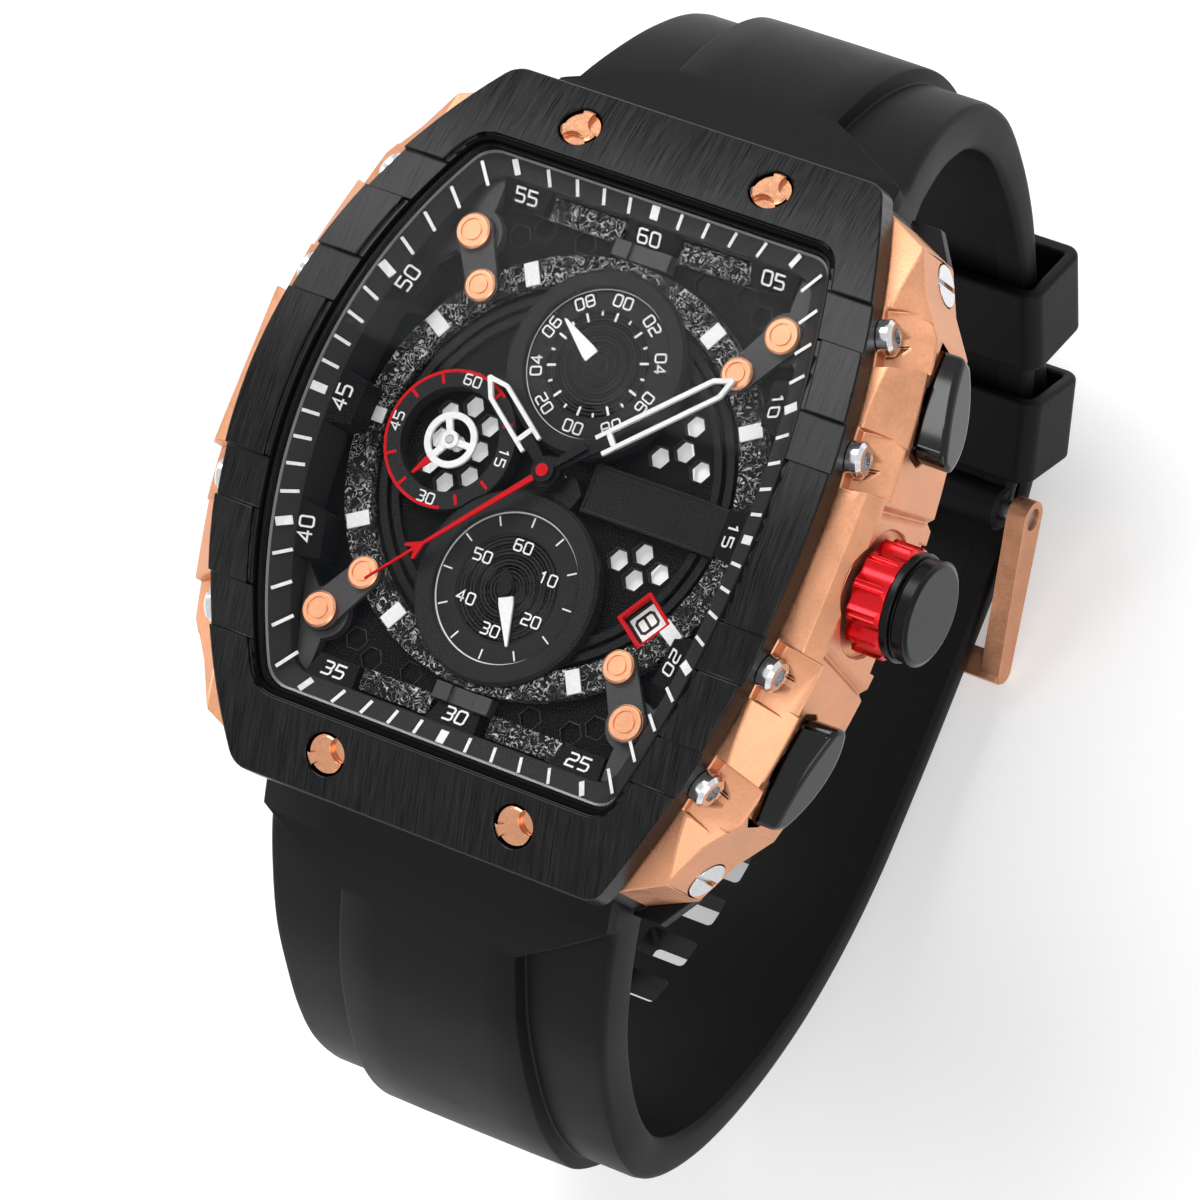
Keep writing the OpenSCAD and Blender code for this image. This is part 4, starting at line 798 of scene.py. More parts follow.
def grown(name, tree, values, seed=None):
    """Runs a geometry tree once with its values and returns the plain mesh."""
    holder = add_object(name + "_work", seed or bpy.data.meshes.new(name + "_seed"))
    mod = holder.modifiers.new("grow", "NODES")
    mod.node_group = tree
    ids = {item.name: item.identifier for item in tree.interface.items_tree
           if getattr(item, "in_out", "") == "INPUT"}
    for label, value in values.items():
        mod[ids[label]] = value
    holder.update_tag()
    return bake_down(holder, name)


def named(t, name):
    """A vector attribute of the points that a tree is given."""
    return t.add("GeometryNodeInputNamedAttribute", data_type="FLOAT_VECTOR", Name=name).outputs[0]


def swept(t, path, radius):
    """Wire of a square section along a path, of a thickness that comes from a socket."""
    profile = t.add("GeometryNodeCurvePrimitiveCircle", Resolution=4, Radius=radius)
    return t.add("GeometryNodeCurveToMesh", Curve=path, Profile_Curve=profile.outputs[0]).outputs[0]


def close_tree(t, gin, gout, last):
    """Realizes a tree's instances, sets its material and ends it."""
    real = t.add("GeometryNodeRealizeInstances", Geometry=last)
    ready = t.add("GeometryNodeSetMaterial", Geometry=real.outputs[0], Material=gin["Material"])
    t.fill(gout, Geometry=ready.outputs[0])


def bars_tree():
    """A box on each point, turned by its "facing" and sized by its "size"."""
    tree, t, gin, gout = geometry_tree("bars_on_points", [("Geometry", "geometry", None),
                                                          ("Material", "material", None)])
    turn = t.add("FunctionNodeEulerToRotation", Euler=named(t, "facing"))
    copies = t.add("GeometryNodeInstanceOnPoints", Points=gin["Geometry"],
                   Instance=t.add("GeometryNodeMeshCube").outputs["Mesh"], Rotation=turn.outputs[0],
                   Scale=named(t, "size"))
    close_tree(t, gin, gout, copies.outputs[0])
    return tree


def cells_tree():
    """A hexagonal frame on each point, a thin lighter wire round a lattice cell that paints a highlight along
    its edge.
    """
    tree, t, gin, gout = geometry_tree("cells_on_points", [
        ("Geometry", "geometry", None), ("Radius", "float", 0.0008), ("Web", "float", 0.00012),
        ("Material", "material", None)])
    outline = t.add("GeometryNodeCurvePrimitiveCircle", Resolution=6, Radius=gin["Radius"])
    copies = t.add("GeometryNodeInstanceOnPoints", Points=gin["Geometry"],
                   Instance=swept(t, outline.outputs[0], gin["Web"]))
    close_tree(t, gin, gout, copies.outputs[0])
    return tree


def rings_tree():
    """Concentric turned rings in a small dial."""
    tree, t, gin, gout = geometry_tree("turned_rings", [
        ("Rings", "int", 9), ("First", "float", 0.0007), ("Step", "float", 0.00024),
        ("Wire", "float", 0.00007), ("Centre", "vector", (0, 0, 0)), ("Material", "material", None)])
    line = t.add("GeometryNodeMeshLine", Count=gin["Rings"], Offset=(0, 0, 0))
    circle = t.add("GeometryNodeCurvePrimitiveCircle", Resolution=64, Radius=1)
    order = t.add("GeometryNodeInputIndex").outputs[0]
    copies = t.add("GeometryNodeInstanceOnPoints", Points=line.outputs[0], Instance=circle.outputs[0],
                   Scale=t.math("ADD", t.math("MULTIPLY", order, gin["Step"]), gin["First"]))
    real = t.add("GeometryNodeRealizeInstances", Geometry=copies.outputs[0])
    move = t.add("GeometryNodeTransform", Geometry=swept(t, real.outputs[0], gin["Wire"]),
                 Translation=gin["Centre"])
    close_tree(t, gin, gout, move.outputs[0])
    return tree


def points_mesh(name, spots):
    """Points in millimetres with a facing and a size. Each spot is (place, facing in degrees, size)."""
    data = bpy.data.meshes.new(name)
    data.from_pydata([Vector(p) * MM for p, _, _ in spots], [], [])
    facing = data.attributes.new("facing", "FLOAT_VECTOR", "POINT")
    size = data.attributes.new("size", "FLOAT_VECTOR", "POINT")
    for i, (_, turn, scale) in enumerate(spots):
        facing.data[i].vector = [math.radians(a) for a in turn]
        size.data[i].vector = [v * MM for v in scale]
    return data


# Operators

class WATCH_OT_finishes(bpy.types.Operator):
    """Makes the finishes and gives each case part its own"""
    bl_idname = "watch.finishes"
    bl_label = "Finishes"

    def execute(self, context):
        c = context.scene.watch_colours
        grain, brush, bark = grain_group(), brushing_group(), bark_group()
        fine = {"Fineness": 15000.0, "Stretch": 0.03}
        finish("bezel_black", c.bezel, 0.9, brush, {**fine, "Low": 0.26, "High": 0.4}, bump=0.2,
               bump_distance=0.00001, Specular_IOR_Level=0.2)
        for name, (colour, metallic, rough_from, rough_to, bump, specular) in GRAINED.items():
            colour = getattr(c, colour) if isinstance(colour, str) else colour
            finish(name, colour, metallic, grain, {"Low": rough_from, "High": rough_to}, bump=bump,
                   Specular_IOR_Level=specular)
        finish("rose_satin", c.rose, 1.0, grain, {"Grain": 5200.0, "Marks": 420.0, "Low": 0.36, "High": 0.52},
               bump=0.3, bump_distance=0.00004)
        finish("rose_light", [min(1.0, v * 1.3) for v in c.rose], 1.0, grain, {"Low": 0.3, "High": 0.4},
               bump=0.02)
        finish("steel_dark", (0.3, 0.3, 0.31), 1.0, brush, {"Low": 0.25, "High": 0.4}, bump=0.1)
        finish("back_steel", (0.25, 0.25, 0.26), 1.0, brush, {**fine, "Low": 0.28, "High": 0.42}, bump=0.15)
        # The bark's colour is scaled by its crest height: painted highlights on the crests, painted shade in
        # the folds
        finish("bark_grey", (0.26, 0.26, 0.26), 0.3, bark, {}, bump=1.0, bump_distance=0.00006,
               Roughness=0.35, Specular_IOR_Level=0.1)
        # The underlay's white glows a little: painted light that lifts the open cells and the date disc out of
        # the shade of their walls
        finish("underlay_white", c.print_white, 0.0, grain, {"Low": 0.35, "High": 0.45}, bump=0.01,
               Emission_Color=(1, 1, 1, 1), Emission_Strength=0.35)
        finish("strap_rubber", c.strap, 0.0, grain,
               {"Grain": 9000.0, "Marks": 90.0, "Low": 0.42, "High": 0.55}, bump=0.06, bump_distance=0.00003,
               Specular_IOR_Level=0.12)
        crystal_finish()
        for material, nodes in FINISH_OF.items():
            for node in nodes:
                slots = NODES[node].data.materials
                slots.clear()
                slots.append(MATERIALS[material])
        return {"FINISHED"}


# Bevel width in millimetres, the angle in degrees from which an edge is broken, and the parts
BEVELS = (
    (0.11, 25, ["bezel"]),
    (0.1, 24, ["side_plate_right", "side_plate_left"]),
    (0.08, 30, ["buckle_frame", "buckle_tang", "case_back", "mid_case"]),
    (0.42, 40, ["pusher_upper", "pusher_lower"]),
    (0.09, 35, ["crown_cap", "side_screws"]),
    (0.06, 35, ["crown_grip", "corner_brackets", "corner_links", "dial_clips"]),
    (0.05, 35, ["dial_plate"]),
    (0.04, 35, ["bezel_screws", "lug_screws", "back_screws", "link_studs", "name_bar", "date_frame",
                "chapter_ring", "small_dial_12", "small_dial_6", "small_dial_9", "arc_rings", "dial_strips",
                "hour_markers"]),
    (0.3, 40, ["keeper_fixed", "keeper_free"]),
)


class WATCH_OT_edges(bpy.types.Operator):
    """Gives the hard parts their broken edges, polished on the rose parts and painted lighter as highlight on
    the bezel and the dial's black rings
    """
    bl_idname = "watch.edges"
    bl_label = "Broken edges"

    def execute(self, context):
        for bevel, angle, nodes in BEVELS:
            for node in nodes:
                edge_break(node, bevel, angle)
        return {"FINISHED"}


# The slot in the upper half's end, which the tang passes, and the centre of its round end
SLOT_Y, PIN_Y, PIN_Z = 11.8, 12.5, -35.5
# Holes in the lower half: the first one's station, one station from each to the next, and their number
FIRST_HOLE, HOLES = 22, 10


class WATCH_OT_strap(bpy.types.Operator):
    """Moulds both halves of the rubber strap"""
    bl_idname = "watch.strap"
    bl_label = "Strap"

    def execute(self, context):
        tool = bmesh.new()
        rounded_box(tool, Matrix.Translation((0, SLOT_Y, PIN_Z)), 1.5, 3.3, 3.0, 0.3)
        bm = opened(cut("strap_upper_moulded", strap_mesh(UPPER, UPPER_BAND, 1), tool), 1 / MM)
        for s in (-1, 1):
            self.roller(bm, s * 1.55, s * 10.45)
        self.finished("strap_upper", bm, 1)
        tool = bmesh.new()
        low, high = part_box("buckle_tang")
        tang = (low + high) / 2 / MM
        spots = [on_strap(LOWER, FIRST_HOLE - i, -1) for i in range(HOLES)]
        used = min(spots, key=lambda m: abs(m.translation.y - high.y / MM) + abs(m.translation.z - tang.z))
        for spot in spots:
            wide, long = (2.5, 1.5) if spot is used else (1.9, 1.15)
            rounded_box(tool, spot, wide, long, 6, 0.35)
        bm = opened(cut("strap_lower_moulded", strap_mesh(LOWER, LOWER_BAND, -1), tool), 1 / MM)
        self.finished("strap_lower", bm, -1)
        return {"FINISHED"}

    @staticmethod
    def finished(node, bm, side):
        """Adds the block that fills the case between the lugs, and stands the strap in for its node."""
        y0, y1 = 17.95, 22.45
        outline = [(x, y * side) for x, y in ((-13, y0), (13, y0), (13, y1), (-13, y1))]
        slab(bm, outline[::side], 1.1, 5.4)
        piece = place(node + "_moulded", mesh_from(node + "_moulded_mesh", bm, 32), "case", "strap_rubber",
                      "strap_rubber")
        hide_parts(node)

    @staticmethod
    def roller(bm, x0, x1, r=1.58, soft=0.25, steps=40):
        """A round end of the strap on the buckle's pin, from x0 outward to x1, with softened rims."""
        s = math.copysign(soft, x1 - x0)
        tube(bm, [[bm.verts.new((x, PIN_Y + q * math.cos(math.tau * i / steps),
                                 PIN_Z + q * math.sin(math.tau * i / steps))) for i in range(steps)]
                  for x, q in ((x0, r - soft), (x0 + s, r), (x1 - s, r), (x1, r - soft))])


# Radius of the barrel outline's corners
CORNER_R = 1.8


def barrel_outline(half_w, half_l, sides=28, corner=10, ends=8):
    """A barrel outline with rounded corners as a closed ring of points."""
    o = half_w - SIDE_R
    cy = half_l - CORNER_R
    cx = o + math.sqrt((SIDE_R - CORNER_R) ** 2 - cy * cy)
    tilt = math.atan2(cy, cx - o)
    quarter = [(o + SIDE_R * math.cos(tilt * i / sides), SIDE_R * math.sin(tilt * i / sides))
               for i in range(sides)]
    for i in range(corner):
        a = tilt + (math.pi / 2 - tilt) * i / corner
        quarter.append((cx + CORNER_R * math.cos(a), cy + CORNER_R * math.sin(a)))
    quarter += [(cx * (1 - i / ends), half_l) for i in range(ends)]
    half = quarter + [(0, half_l)] + [(-x, y) for x, y in quarter[:0:-1]]
    return half + [(-x, -y) for x, y in half]


# The flange's width, how far its level lip reaches in, its seat's height, and its depth under the
# bezel's top at the lip and at its outer foot; its face falls by FLANGE_FALL from the lip inward
FLANGE_W, FLANGE_LIP = 1.85, 0.38
FLANGE_SEAT = 8.32
LIP_DROP, FOOT_DROP, FLANGE_FALL = 1.25, 2.16, 0.9
# How deep a pad's outer edge lies under the flange's inner edge, a pad's underside and its thinnest top
PAD_STEP, PAD_SEAT, PAD_TOP = 0.03, 8.34, 8.5


def flange_drop(margin):
    """Depth of the flange's face under the bezel's top, a margin inside the opening's edge."""
    return LIP_DROP + FLANGE_FALL * (margin - FLANGE_LIP) / (FLANGE_W - FLANGE_LIP)


# Pads for the numerals: number, place on the flange's inner edge, and the way inward
PADS = [("60", 0, 17.2, 0, -1), ("05", 9.3, 17.2, 0, -1), ("55", -9.3, 17.2, 0, -1),
        ("30", 0, -17.2, 0, 1), ("25", 9.3, -17.2, 0, 1), ("35", -9.3, -17.2, 0, 1),
        ("15", 15.3, 0, -1, 0), ("10", 14.49, 8.7, -1, 0), ("20", 14.49, -8.7, -1, 0),
        ("45", -15.3, 0, 1, 0), ("50", -14.49, 8.7, 1, 0), ("40", -14.49, -8.7, 1, 0)]


class WATCH_OT_flange(bpy.types.Operator):
    """Forms the sloped flange and its pads"""
    bl_idname = "watch.flange"
    bl_label = "Flange"

    def execute(self, context):
        bm = bmesh.new()
        rows = []
        for out, drop in ((0.35, None), (0.35, FOOT_DROP), (-FLANGE_LIP, FOOT_DROP), (-FLANGE_LIP, LIP_DROP),
                          (-FLANGE_LIP - 0.16, flange_drop(FLANGE_LIP + 0.16)),
                          (-FLANGE_W + 0.1, flange_drop(FLANGE_W - 0.1)),
                          (-FLANGE_W, flange_drop(FLANGE_W) + 0.08), (-FLANGE_W, None)):
            ring = barrel_outline(OPEN_W + out, OPEN_L + out)
            rows.append([bm.verts.new((x, y, FLANGE_SEAT if drop is None else arch_z(y, drop)))
                         for x, y in ring])
        skin(bm, rows + rows[:1])
        faces = list(bm.faces)
        # The inner step and the first of the lip take a lighter grey: a painted highlight on the flange's edge
        for face in faces[2 * len(ring):4 * len(ring)]:
            face.material_index = 2
        for _, x, y, dx, dy in PADS:
            self.pad(bm, x, y, dx, dy)
        for face in list(bm.faces)[len(faces):]:
            face.material_index = 1
        piece = place_bm("flange_formed", bm, 30, "case", "ring_grey", "flange_grey", "pad_black",
                         "flange_edge")
        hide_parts("flange_ring")
        return {"FINISHED"}

    @staticmethod
    def pad(bm, x, y, dx, dy):
        """A wedge that falls inward from the flange's edge."""
        verts = []
        for along, half, fall in ((-0.1, 1.85, 0), (1.6, 1.5, pad_fall(dy))):
            for s in (-1, 1):
                py = y + dy * along + dx * half * s
                px = x - dy * half * s if dy else -dx * (side_x(OPEN_W - FLANGE_W, py) - along)
                z = arch_z(py if dx else y, flange_drop(FLANGE_W)) - PAD_STEP - fall
                verts += [bm.verts.new((px, py, h)) for h in (PAD_SEAT, max(z, PAD_TOP))]
        for face in ((0, 1, 3, 2), (4, 6, 7, 5), (0, 4, 5, 1), (2, 3, 7, 6), (1, 5, 7, 3), (0, 2, 6, 4)):
            bm.faces.new([verts[i] for i in face])


def pad_fall(dy):
    """How far a pad falls inward: the ends lie close over the dial, the sides high above it."""
    return 0.6 if dy else 0.8


# Width in metres of the slope ground under the crystal's rim
CRYSTAL_SLOPE = 0.0011


class WATCH_OT_crystal(bpy.types.Operator):
    """Grinds the slope under the crystal's rim that clears the flange"""
    bl_idname = "watch.crystal"
    bl_label = "Crystal"

    def execute(self, context):
        bm = opened(NODES["crystal"].data, weld=SAME_SPOT)
        rim = []
        for edge in bm.edges:
            heights = sorted(face.normal.z for face in edge.link_faces)
            if heights[0] < -0.8 and abs(heights[1]) < 0.2:
                rim.append(edge)
        bmesh.ops.bevel(bm, geom=rim, offset=CRYSTAL_SLOPE, offset_type="OFFSET", segments=1, affect="EDGES",
                        clamp_overlap=False)
        data = raw_mesh("crystal_ground", bm)
        data.materials.clear()
        shade(data, 20)
        piece = place("crystal_ground", data, "case", SLOT_OF["crystal"], "sapphire_clear")
        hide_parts("crystal")
        return {"FINISHED"}


# From the opening's edge inward to the ticks, and the length and half width of every fifth
TICK_MARGIN, WIDE_TICK = 0.6, (0.88, 0.29)


class WATCH_OT_flange_prints(bpy.types.Operator):
    """Prints the minute ticks and numerals on the flange"""
    bl_idname = "watch.flange_prints"
    bl_label = "Flange prints"

    def execute(self, context):
        s = context.scene.watch_dial
        bm = bmesh.new()
        rise = s.print_height / MM
        for k in range(60):
            d = Vector(on_circle(1, 90 - 6 * k))
            length, half = (s.tick_length / MM, s.tick_width / MM / 2) if k % 5 else WIDE_TICK
            edge = self.reach(d)
            face = Vector((d.x, 0)) if edge * abs(d.y) < OPEN_L - 0.2 else Vector((0, d.y))
            lean = 1 / max(0.5, abs(face.normalized().dot(d)))
            across = Vector((-d.y, d.x)) * half
            outer, inner = TICK_MARGIN, TICK_MARGIN + length
            corners = [(d * (edge - m * lean) + across * side, m)
                       for m, side in ((inner, -1), (outer, -1), (outer, 1), (inner, 1))]
            prism(bm, *([bm.verts.new((p.x, p.y, arch_z(p.y, flange_drop(m)) + z)) for p, m in corners]
                        for z in (-0.01, rise)))
        for text, x, y, dx, dy in PADS:
            number(bm, text, s.numeral_size / MM, self.on_pad(x, y, dx, dy))
        place_bm("flange_prints", bm, None, "case", "white_paint", "print_white")
        return {"FINISHED"}

    @staticmethod
    def on_pad(x, y, dx, dy):
        """Placement of a numeral on a pad's slope, upright to its reader."""
        fall = pad_fall(dy)
        z = arch_z(y, flange_drop(FLANGE_W)) - PAD_STEP - fall * (0.5 if dy else 0.38)
        inward = Vector((dx * 1.7, dy * 1.7, -fall)).normalized()
        if dy:
            read, up = Vector((1, 0, 0)), inward * dy
        else:
            lean = -y / math.sqrt(SIDE_R ** 2 - y * y)
            drop = -y / math.sqrt((ARCH_R - 2.45) ** 2 - y * y)
            read = Vector((-dx * lean, 1, drop)).normalized() * dx
            up = -(inward - read * inward.dot(read)).normalized()
        out = read.cross(up)
        at = Matrix((read, up, out)).transposed().to_4x4()
        along = 0.55 if dx > 0 else 0.75
        at.translation = Vector((x + dx * along, y + dy * along, z)) + out * 0.012
        return at

    @staticmethod
    def reach(d):
        """Distance from the centre to the opening's edge along d."""
        r = OPEN_L / abs(d.y) if abs(d.y) > 1e-6 else 1e9
        o = OPEN_W - SIDE_R
        b = abs(d.x) * o
        side = b + math.sqrt(b * b - o * o + SIDE_R ** 2)
        return min(r, side)


# The cells' pitch, and how many columns and rows are tried each way from the middle
CELL = 1.75
LATTICE = 11


def lattice_spots():
    """Centres of the dial plate's cells, open and blind, as the CAD cuts them."""
    date = on_circle(11.72, -34.5)
    spots = []
    for i in range(-LATTICE, LATTICE + 1):
        for j in range(-LATTICE, LATTICE + 1):
            x, y = i * CELL * math.cos(math.pi / 6), (j + abs(i % 2) / 2) * CELL
            r = math.hypot(x, y)
            right = (x > 3 and 5 < r < 10.3 and abs(y) < x * 1.05 and (y > 2.7 or y < -2.4)
                     and math.hypot(x, y - SUB) > 7.05 and math.hypot(x, y + SUB) > 7.25
                     and math.dist((x, y), date) > 2.7)
            left = 1 < math.hypot(x + SUB, y) < 2.95
            blind = r > 15.35 and 2.9 < abs(x) < 9.4 and abs(y) < 15.1
            if right or left or blind:
                spots.append((x, y, 8.3))
    return spots


class WATCH_OT_lattice(bpy.types.Operator):
    """Raises a thin lighter rim round every cell of the dial plate: painted highlight along the cells' edges"""
    bl_idname = "watch.lattice"
    bl_label = "Dial lattice"

    def execute(self, context):
        spots = [(p, (0, 0, 0), (1, 1, 1)) for p in lattice_spots()]
        data = grown("lattice_rims", cells_tree(), {"Radius": 0.00079, "Web": 0.00004,
                                                    "Material": MATERIALS["web_grey"]},
                     points_mesh("lattice_points", spots))
        place("lattice_rims", data, "case", SLOT_OF["dial_plate"])
        return {"FINISHED"}


# Heights on the small dials at 12, 6 and 9: the numerals' undersides and the ticks' middles
NUMERALS_Z = (9.155, 9.215, 9.505)
TICKS_Z = (9.22, 9.17, 9.515)


class WATCH_OT_small_dials(bpy.types.Operator):
    """Turns and prints the small dials"""
    bl_idname = "watch.small_dials"
    bl_label = "Small dials"

    def execute(self, context):
        s = context.scene.watch_dial
        bars, rings = bars_tree(), rings_tree()
        for name, y in (("turned_rings_12", SUB), ("turned_rings_6", -SUB)):
            data = grown(name, rings, {"Rings": s.ring_count, "First": 0.0008, "Step": 0.000235,
                                       "Wire": 0.00007, "Centre": (0, y * MM, 0.00913),
                                       "Material": MATERIALS["turned_black"]})
            shade(data, 40)
            place(name, data, "case", "dial_black")
        z_12, z_6, z_9 = TICKS_Z
        white = (self.ticks(0, SUB, z_12, 10, 3.22, 0.6, 0.15)
                 + self.ticks(0, SUB, z_12, 10, 3.35, 0.28, 0.13, 18)
                 + self.ticks(0, -SUB, z_6, 12, 4.5, 0.66, 0.1))
        red = [t for i, t in enumerate(self.ticks(-SUB, 0, z_9, 12, 4.1, 0.7, 0.2)) if i % 3]
        for colour, spots in (("white", white), ("red", red)):
            name = "small_ticks_" + colour
            data = grown(name, bars, {"Material": MATERIALS["print_" + colour]},
                         points_mesh(name + "_points", spots))
            place(name, data, "case", colour + "_paint")
        bm = bmesh.new()
        z_12, z_6, z_9 = NUMERALS_Z
        size = s.small_numeral / MM
        for k in range(10):
            a = 90 - 36 * k
            x, y = on_circle(4.3, a)
            number(bm, "%02d" % (2 * (k % 5)), size * 0.86, flat_turn(x, SUB + y, z_12, a - 90))
        for text, a in (("60", 90), ("10", 30), ("20", -30), ("30", -90), ("40", -150), ("50", 150)):
            x, y = on_circle(2.85, a)
            number(bm, text, size * 0.84, flat_turn(x, y - SUB, z_6, 0))
        for text, x, y, turn in (("60", 0, 4.02, 0), ("15", 4.02, 0, -90), ("30", 0, -4.02, 0),
                                 ("45", -4.02, 0, 90)):
            number(bm, text, size * 0.78, flat_turn(x - SUB, y, z_9, turn))
        annulus(bm, (0, -SUB), 4.93, 5.03, 9.14, 9.175)
        # A thin white ring on the 12 dial's rim: a painted highlight of its edge
        annulus(bm, (0, SUB), 4.93, 4.98, 9.14, 9.17)
        place_bm("small_numerals", bm, None, "case", "white_paint", "print_white")
        bm = bmesh.new()
        annulus(bm, (-SUB, 0), 4.42, 4.62, 9.49, 9.53, 80, 55, 285)
        place_bm("red_track", bm, None, "case", "red_paint", "print_red")
        return {"FINISHED"}

    @staticmethod
    def ticks(x, y, z, count, radius, length, width, first=0.0):
        """Radial tick spots round a small dial, from its top clockwise."""
        spots = []
        for k in range(count):
            a = 90 - 360 / count * k - first
            px, py = on_circle(radius, a)
            spots.append(((x + px, y + py, z), (0, 0, a), (length, width, 0.04)))
        return spots


# The date window's angle, the day in it, the numbers' radius and the printed track's height
DATE_ANGLE, SHOWN_DAY, DATE_R, TRACK_H = -35.0, 8, 11.5, 0.25
# The date frame's foot, in metres, and the share of its height that is kept
FRAME_FOOT, FRAME_SHARE = 0.0083, 0.55


class WATCH_OT_date(bpy.types.Operator):
    """Prints the date disc, all thirty-one numbers"""
    bl_idname = "watch.date"
    bl_label = "Date disc"

    def execute(self, context):
        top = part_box("date_disc")[1].z / MM
        bm = bmesh.new()
        annulus(bm, (0, 0), 9.4, 13.05, top - 0.01, top + TRACK_H, 124)
        # The date track glows with the underlay's white: painted light
        place_bm("date_track", bm, 30, "date_wheel", SLOT_OF["date_disc"], "underlay_white")
        bm = bmesh.new()
        for day in range(1, 32):
            a = DATE_ANGLE + (day - SHOWN_DAY) * 360 / 31
            at = flat_turn(*on_circle(DATE_R, a), top + TRACK_H - 0.004, a)
            number(bm, str(day), 1.35 if day < 10 else 1.05, at, 0.015)
        place_bm("date_numbers", bm, None, "date_wheel", "dial_black", "print_black")
        for vert in bpy.data.objects["date_frame_finished"].data.vertices:
            vert.co.z = FRAME_FOOT + (vert.co.z - FRAME_FOOT) * FRAME_SHARE
        return {"FINISHED"}


class WATCH_OT_hands(bpy.types.Operator):
    """Finishes the hands: white outlines, black roots and tails"""
    bl_idname = "watch.hands"
    bl_label = "Hands"

    def execute(self, context):
        for node, x, y, turn, split, legs in (("hour_hand", 0, 0, 144.5, 2.95, (2.3, 0.8)),
                                              ("minute_hand", 0, 0, 43.6, 4.65, (3.9, 0.72)),
                                              ("hand_12", 0, SUB, 147.9, 0.62, None),
                                              ("hand_6", 0, -SUB, -65.7, 0.62, None)):
            self.two_tone(node, (x, y), turn, split, legs, ("print_white", "hand_black"))
        self.two_tone("wheel_9", (-SUB, 0), -121.7, 1.86, None, ("print_red", "print_white"))
        self.two_tone("seconds_hand", (0, 0), -131, 0.8, None, ("print_red", "hand_black"), 0.45)
        return {"FINISHED"}

    @staticmethod
    def two_tone(node, at, turn, split, legs, materials, hub=0.0):
        """A copy of a hand, in a second finish nearer its axis than a split. A hub may keep the first."""
        bm = opened(NODES[node].data, 1 / MM, SAME_SPOT)
        d = Vector((*on_circle(1, turn), 0))
        side = Vector((-d.y, d.x, 0))
        centre = Vector((*at, 0))
        bmesh.ops.bisect_plane(bm, geom=bm.verts[:] + bm.edges[:] + bm.faces[:], plane_co=centre + d * split,
                               plane_no=d)
        for face in bm.faces:
            rest = face.calc_center_median() - centre
            rest.z = 0
            face.material_index = 1 if rest.dot(d) < split and rest.length > hub else 0
        if legs:
            start, out = legs
            end, back = split + 0.2, out - 0.28
            z0 = min(v.co.z for v in bm.verts)
            for s in (-1, 1):
                pts = [centre + d * a + side * b * s
                       for a, b in ((start, out), (end, out), (end, back), (start, back))]
                slab(bm, [(q.x, q.y) for q in pts], z0 + 0.02, z0 + 0.28)
        piece = place_bm(node + "_finished", bm, 30, BODY_OF[node], SLOT_OF[node], *materials)
        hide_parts(node)


# The camera, fitted to the photo: its way round, its way up and its roll, in degrees
CAMERA_ANGLES = (27.0, -4.8, 22.1)
# In pixels: focal length, where the dial's centre falls, and the picture's side
FOCAL, DIAL_PIXEL, PICTURE = 7319.0, (550, 474.75), 1200
# The film's width in millimetres, and the dial's height in metres
SENSOR, DIAL_Z = 36, 0.0096
# Lamps: name, place, size and share of the key's power
LAMPS = (("key", (-0.25, 0.42, 0.6), (0.5, 0.35), 2.6),
         ("fill", (0.55, -0.25, 0.5), (0.5, 0.5), 1.2),
         ("rim", (-0.6, -0.3, 0.35), (0.25, 0.6), 0.9))


def seen(t):
    """1 where a ray comes from the camera straight, by a gloss or through glass, otherwise 0."""
    ray = t.add("ShaderNodeLightPath").outputs
    return t.math("MAXIMUM", ray["Is Camera Ray"],
                  t.math("MAXIMUM", ray["Is Glossy Ray"], ray["Is Transmission Ray"]))


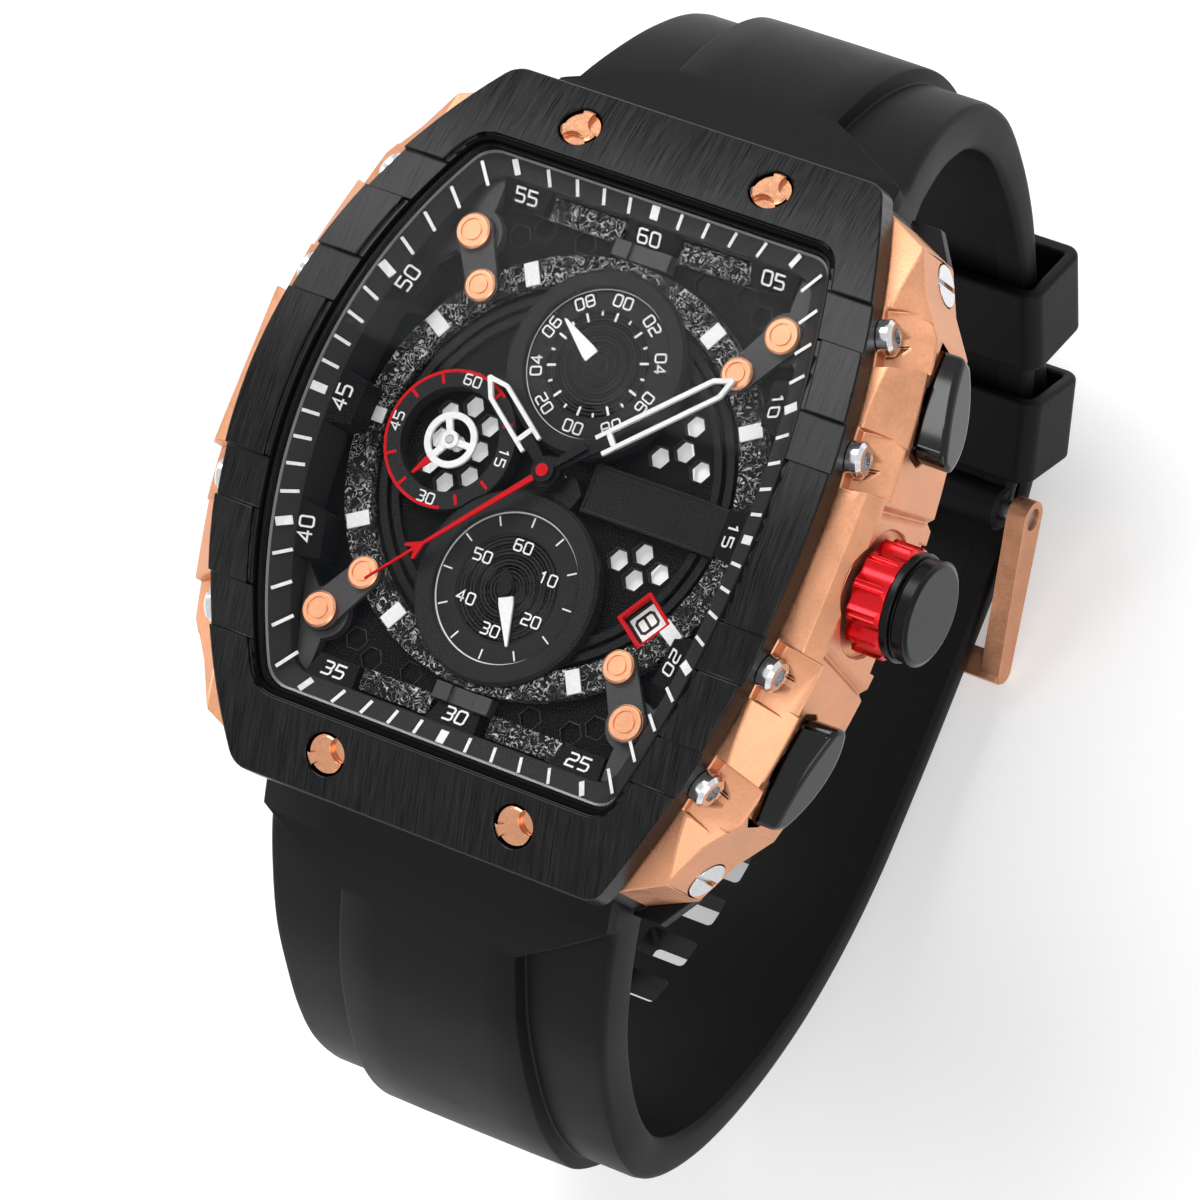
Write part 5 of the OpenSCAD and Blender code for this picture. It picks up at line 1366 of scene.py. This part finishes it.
class WATCH_OT_stage(bpy.types.Operator):
    """Sets the floor, lights and camera"""
    bl_idname = "watch.stage"
    bl_label = "Stage"

    def execute(self, context):
        s = context.scene.watch_stage
        scene = context.scene
        bm = bmesh.new()
        bmesh.ops.create_grid(bm, x_segments=1, y_segments=1, size=3.0)
        data = raw_mesh("floor", bm)
        data.transform(Matrix.Translation((0, 0, CAD_BOX[0].z - 0.0001)))
        floor = add_object("floor", data)
        data.materials.append(self.floor_finish(s.floor_tone))
        self.world(scene)
        self.camera(scene, s.distance)
        for name, at, size, share in LAMPS:
            lamp = bpy.data.lights.new(name, "AREA")
            lamp.shape = "RECTANGLE"
            lamp.size, lamp.size_y = size
            lamp.energy = s.key_power * share
            holder = add_object(name, lamp)
            holder.location = at
            holder.rotation_euler = (-Vector(at)).to_track_quat("-Z", "Y").to_euler()
        scene.view_settings.view_transform = "Standard"
        return {"FINISHED"}

    @staticmethod
    def floor_finish(tone):
        """A pale floor that glows a little where the camera sees it."""
        mat, t, shader = new_material("floor_pale")
        t.fill(shader, Base_Color=(tone, tone, tone, 1), Roughness=0.9)
        glow = t.add("ShaderNodeEmission", Strength=t.math("MULTIPLY", seen(t), 0.35))
        both = t.add("ShaderNodeAddShader")
        for socket, part in zip(both.inputs, (shader, glow)):
            t.feed(socket, part.outputs[0])
        t.fill(mat.node_tree.nodes["Material Output"], Surface=both.outputs[0])
        return mat

    @staticmethod
    def world(scene):
        """A white studio, brighter to look at than it lights."""
        world = bpy.data.worlds.new("studio")
        world.use_nodes = True
        scene.world = world
        t = Tree(world.node_tree)
        t.fill(world.node_tree.nodes["Background"], Strength=t.remap(seen(t), 0, 1, 0.45, 1.0),
               Color=(1, 1, 1, 1))

    @staticmethod
    def camera(scene, distance):
        """A long lens aimed at the picture's middle, rolled as the watch leans."""
        az, el, roll = (math.radians(angle) for angle in CAMERA_ANGLES)
        back = Vector((math.sin(az) * math.cos(el), math.sin(el), math.cos(az) * math.cos(el)))
        right0 = (-back).cross(Vector((0, 1, 0))).normalized()
        up0 = right0.cross(-back)
        right = right0 * math.cos(roll) + up0 * math.sin(roll)
        up = up0 * math.cos(roll) - right0 * math.sin(roll)
        off_x, off_y = ((PICTURE / 2 - spot) / FOCAL for spot in DIAL_PIXEL)
        aim = (off_x * right - off_y * up - back).normalized()
        right = (right - aim * right.dot(aim)).normalized()
        up = right.cross(aim)
        data = bpy.data.cameras.new("camera")
        data.sensor_width = SENSOR
        data.lens = FOCAL / PICTURE * SENSOR
        data.clip_start, data.clip_end = 0.01, 20
        holder = add_object("camera", data)
        turn = Matrix((right, up, -aim)).transposed().to_4x4()
        holder.matrix_world = Matrix.Translation(back * distance + Vector((0, 0, DIAL_Z))) @ turn
        scene.camera = holder


class WATCH_PT_panel(bpy.types.Panel):
    """Lists the steps of the watch"""
    bl_label = "Chronograph"
    bl_idname = "WATCH_PT_panel"
    bl_space_type = "VIEW_3D"
    bl_region_type = "UI"
    bl_category = "Watch"

    def draw(self, context):
        for group in (context.scene.watch_colours, context.scene.watch_dial, context.scene.watch_stage):
            for key in group.__annotations__:
                self.layout.prop(group, key)
        for step in STEPS:
            self.layout.operator(step.bl_idname)


STEPS = (WATCH_OT_finishes, WATCH_OT_edges, WATCH_OT_strap, WATCH_OT_flange, WATCH_OT_crystal,
         WATCH_OT_flange_prints, WATCH_OT_lattice, WATCH_OT_small_dials, WATCH_OT_date, WATCH_OT_hands,
         WATCH_OT_stage)
GROUPS = (WatchColours, DialSizes, StageSizes)


def register():
    for cls in (*GROUPS, *STEPS, WATCH_PT_panel):
        bpy.utils.register_class(cls)
    bpy.types.Scene.watch_colours = PointerProperty(type=WatchColours)
    bpy.types.Scene.watch_dial = PointerProperty(type=DialSizes)
    bpy.types.Scene.watch_stage = PointerProperty(type=StageSizes)


def unregister():
    del bpy.types.Scene.watch_stage
    del bpy.types.Scene.watch_dial
    del bpy.types.Scene.watch_colours
    for cls in reversed((*GROUPS, *STEPS, WATCH_PT_panel)):
        bpy.utils.unregister_class(cls)


def main():
    register()
    bpy.ops.watch.finishes()
    bpy.ops.watch.edges()
    bpy.ops.watch.strap()
    bpy.ops.watch.flange()
    bpy.ops.watch.crystal()
    bpy.ops.watch.flange_prints()
    bpy.ops.watch.lattice()
    bpy.ops.watch.small_dials()
    bpy.ops.watch.date()
    bpy.ops.watch.hands()
    bpy.ops.watch.stage()


if __name__ == "__main__":
    main()
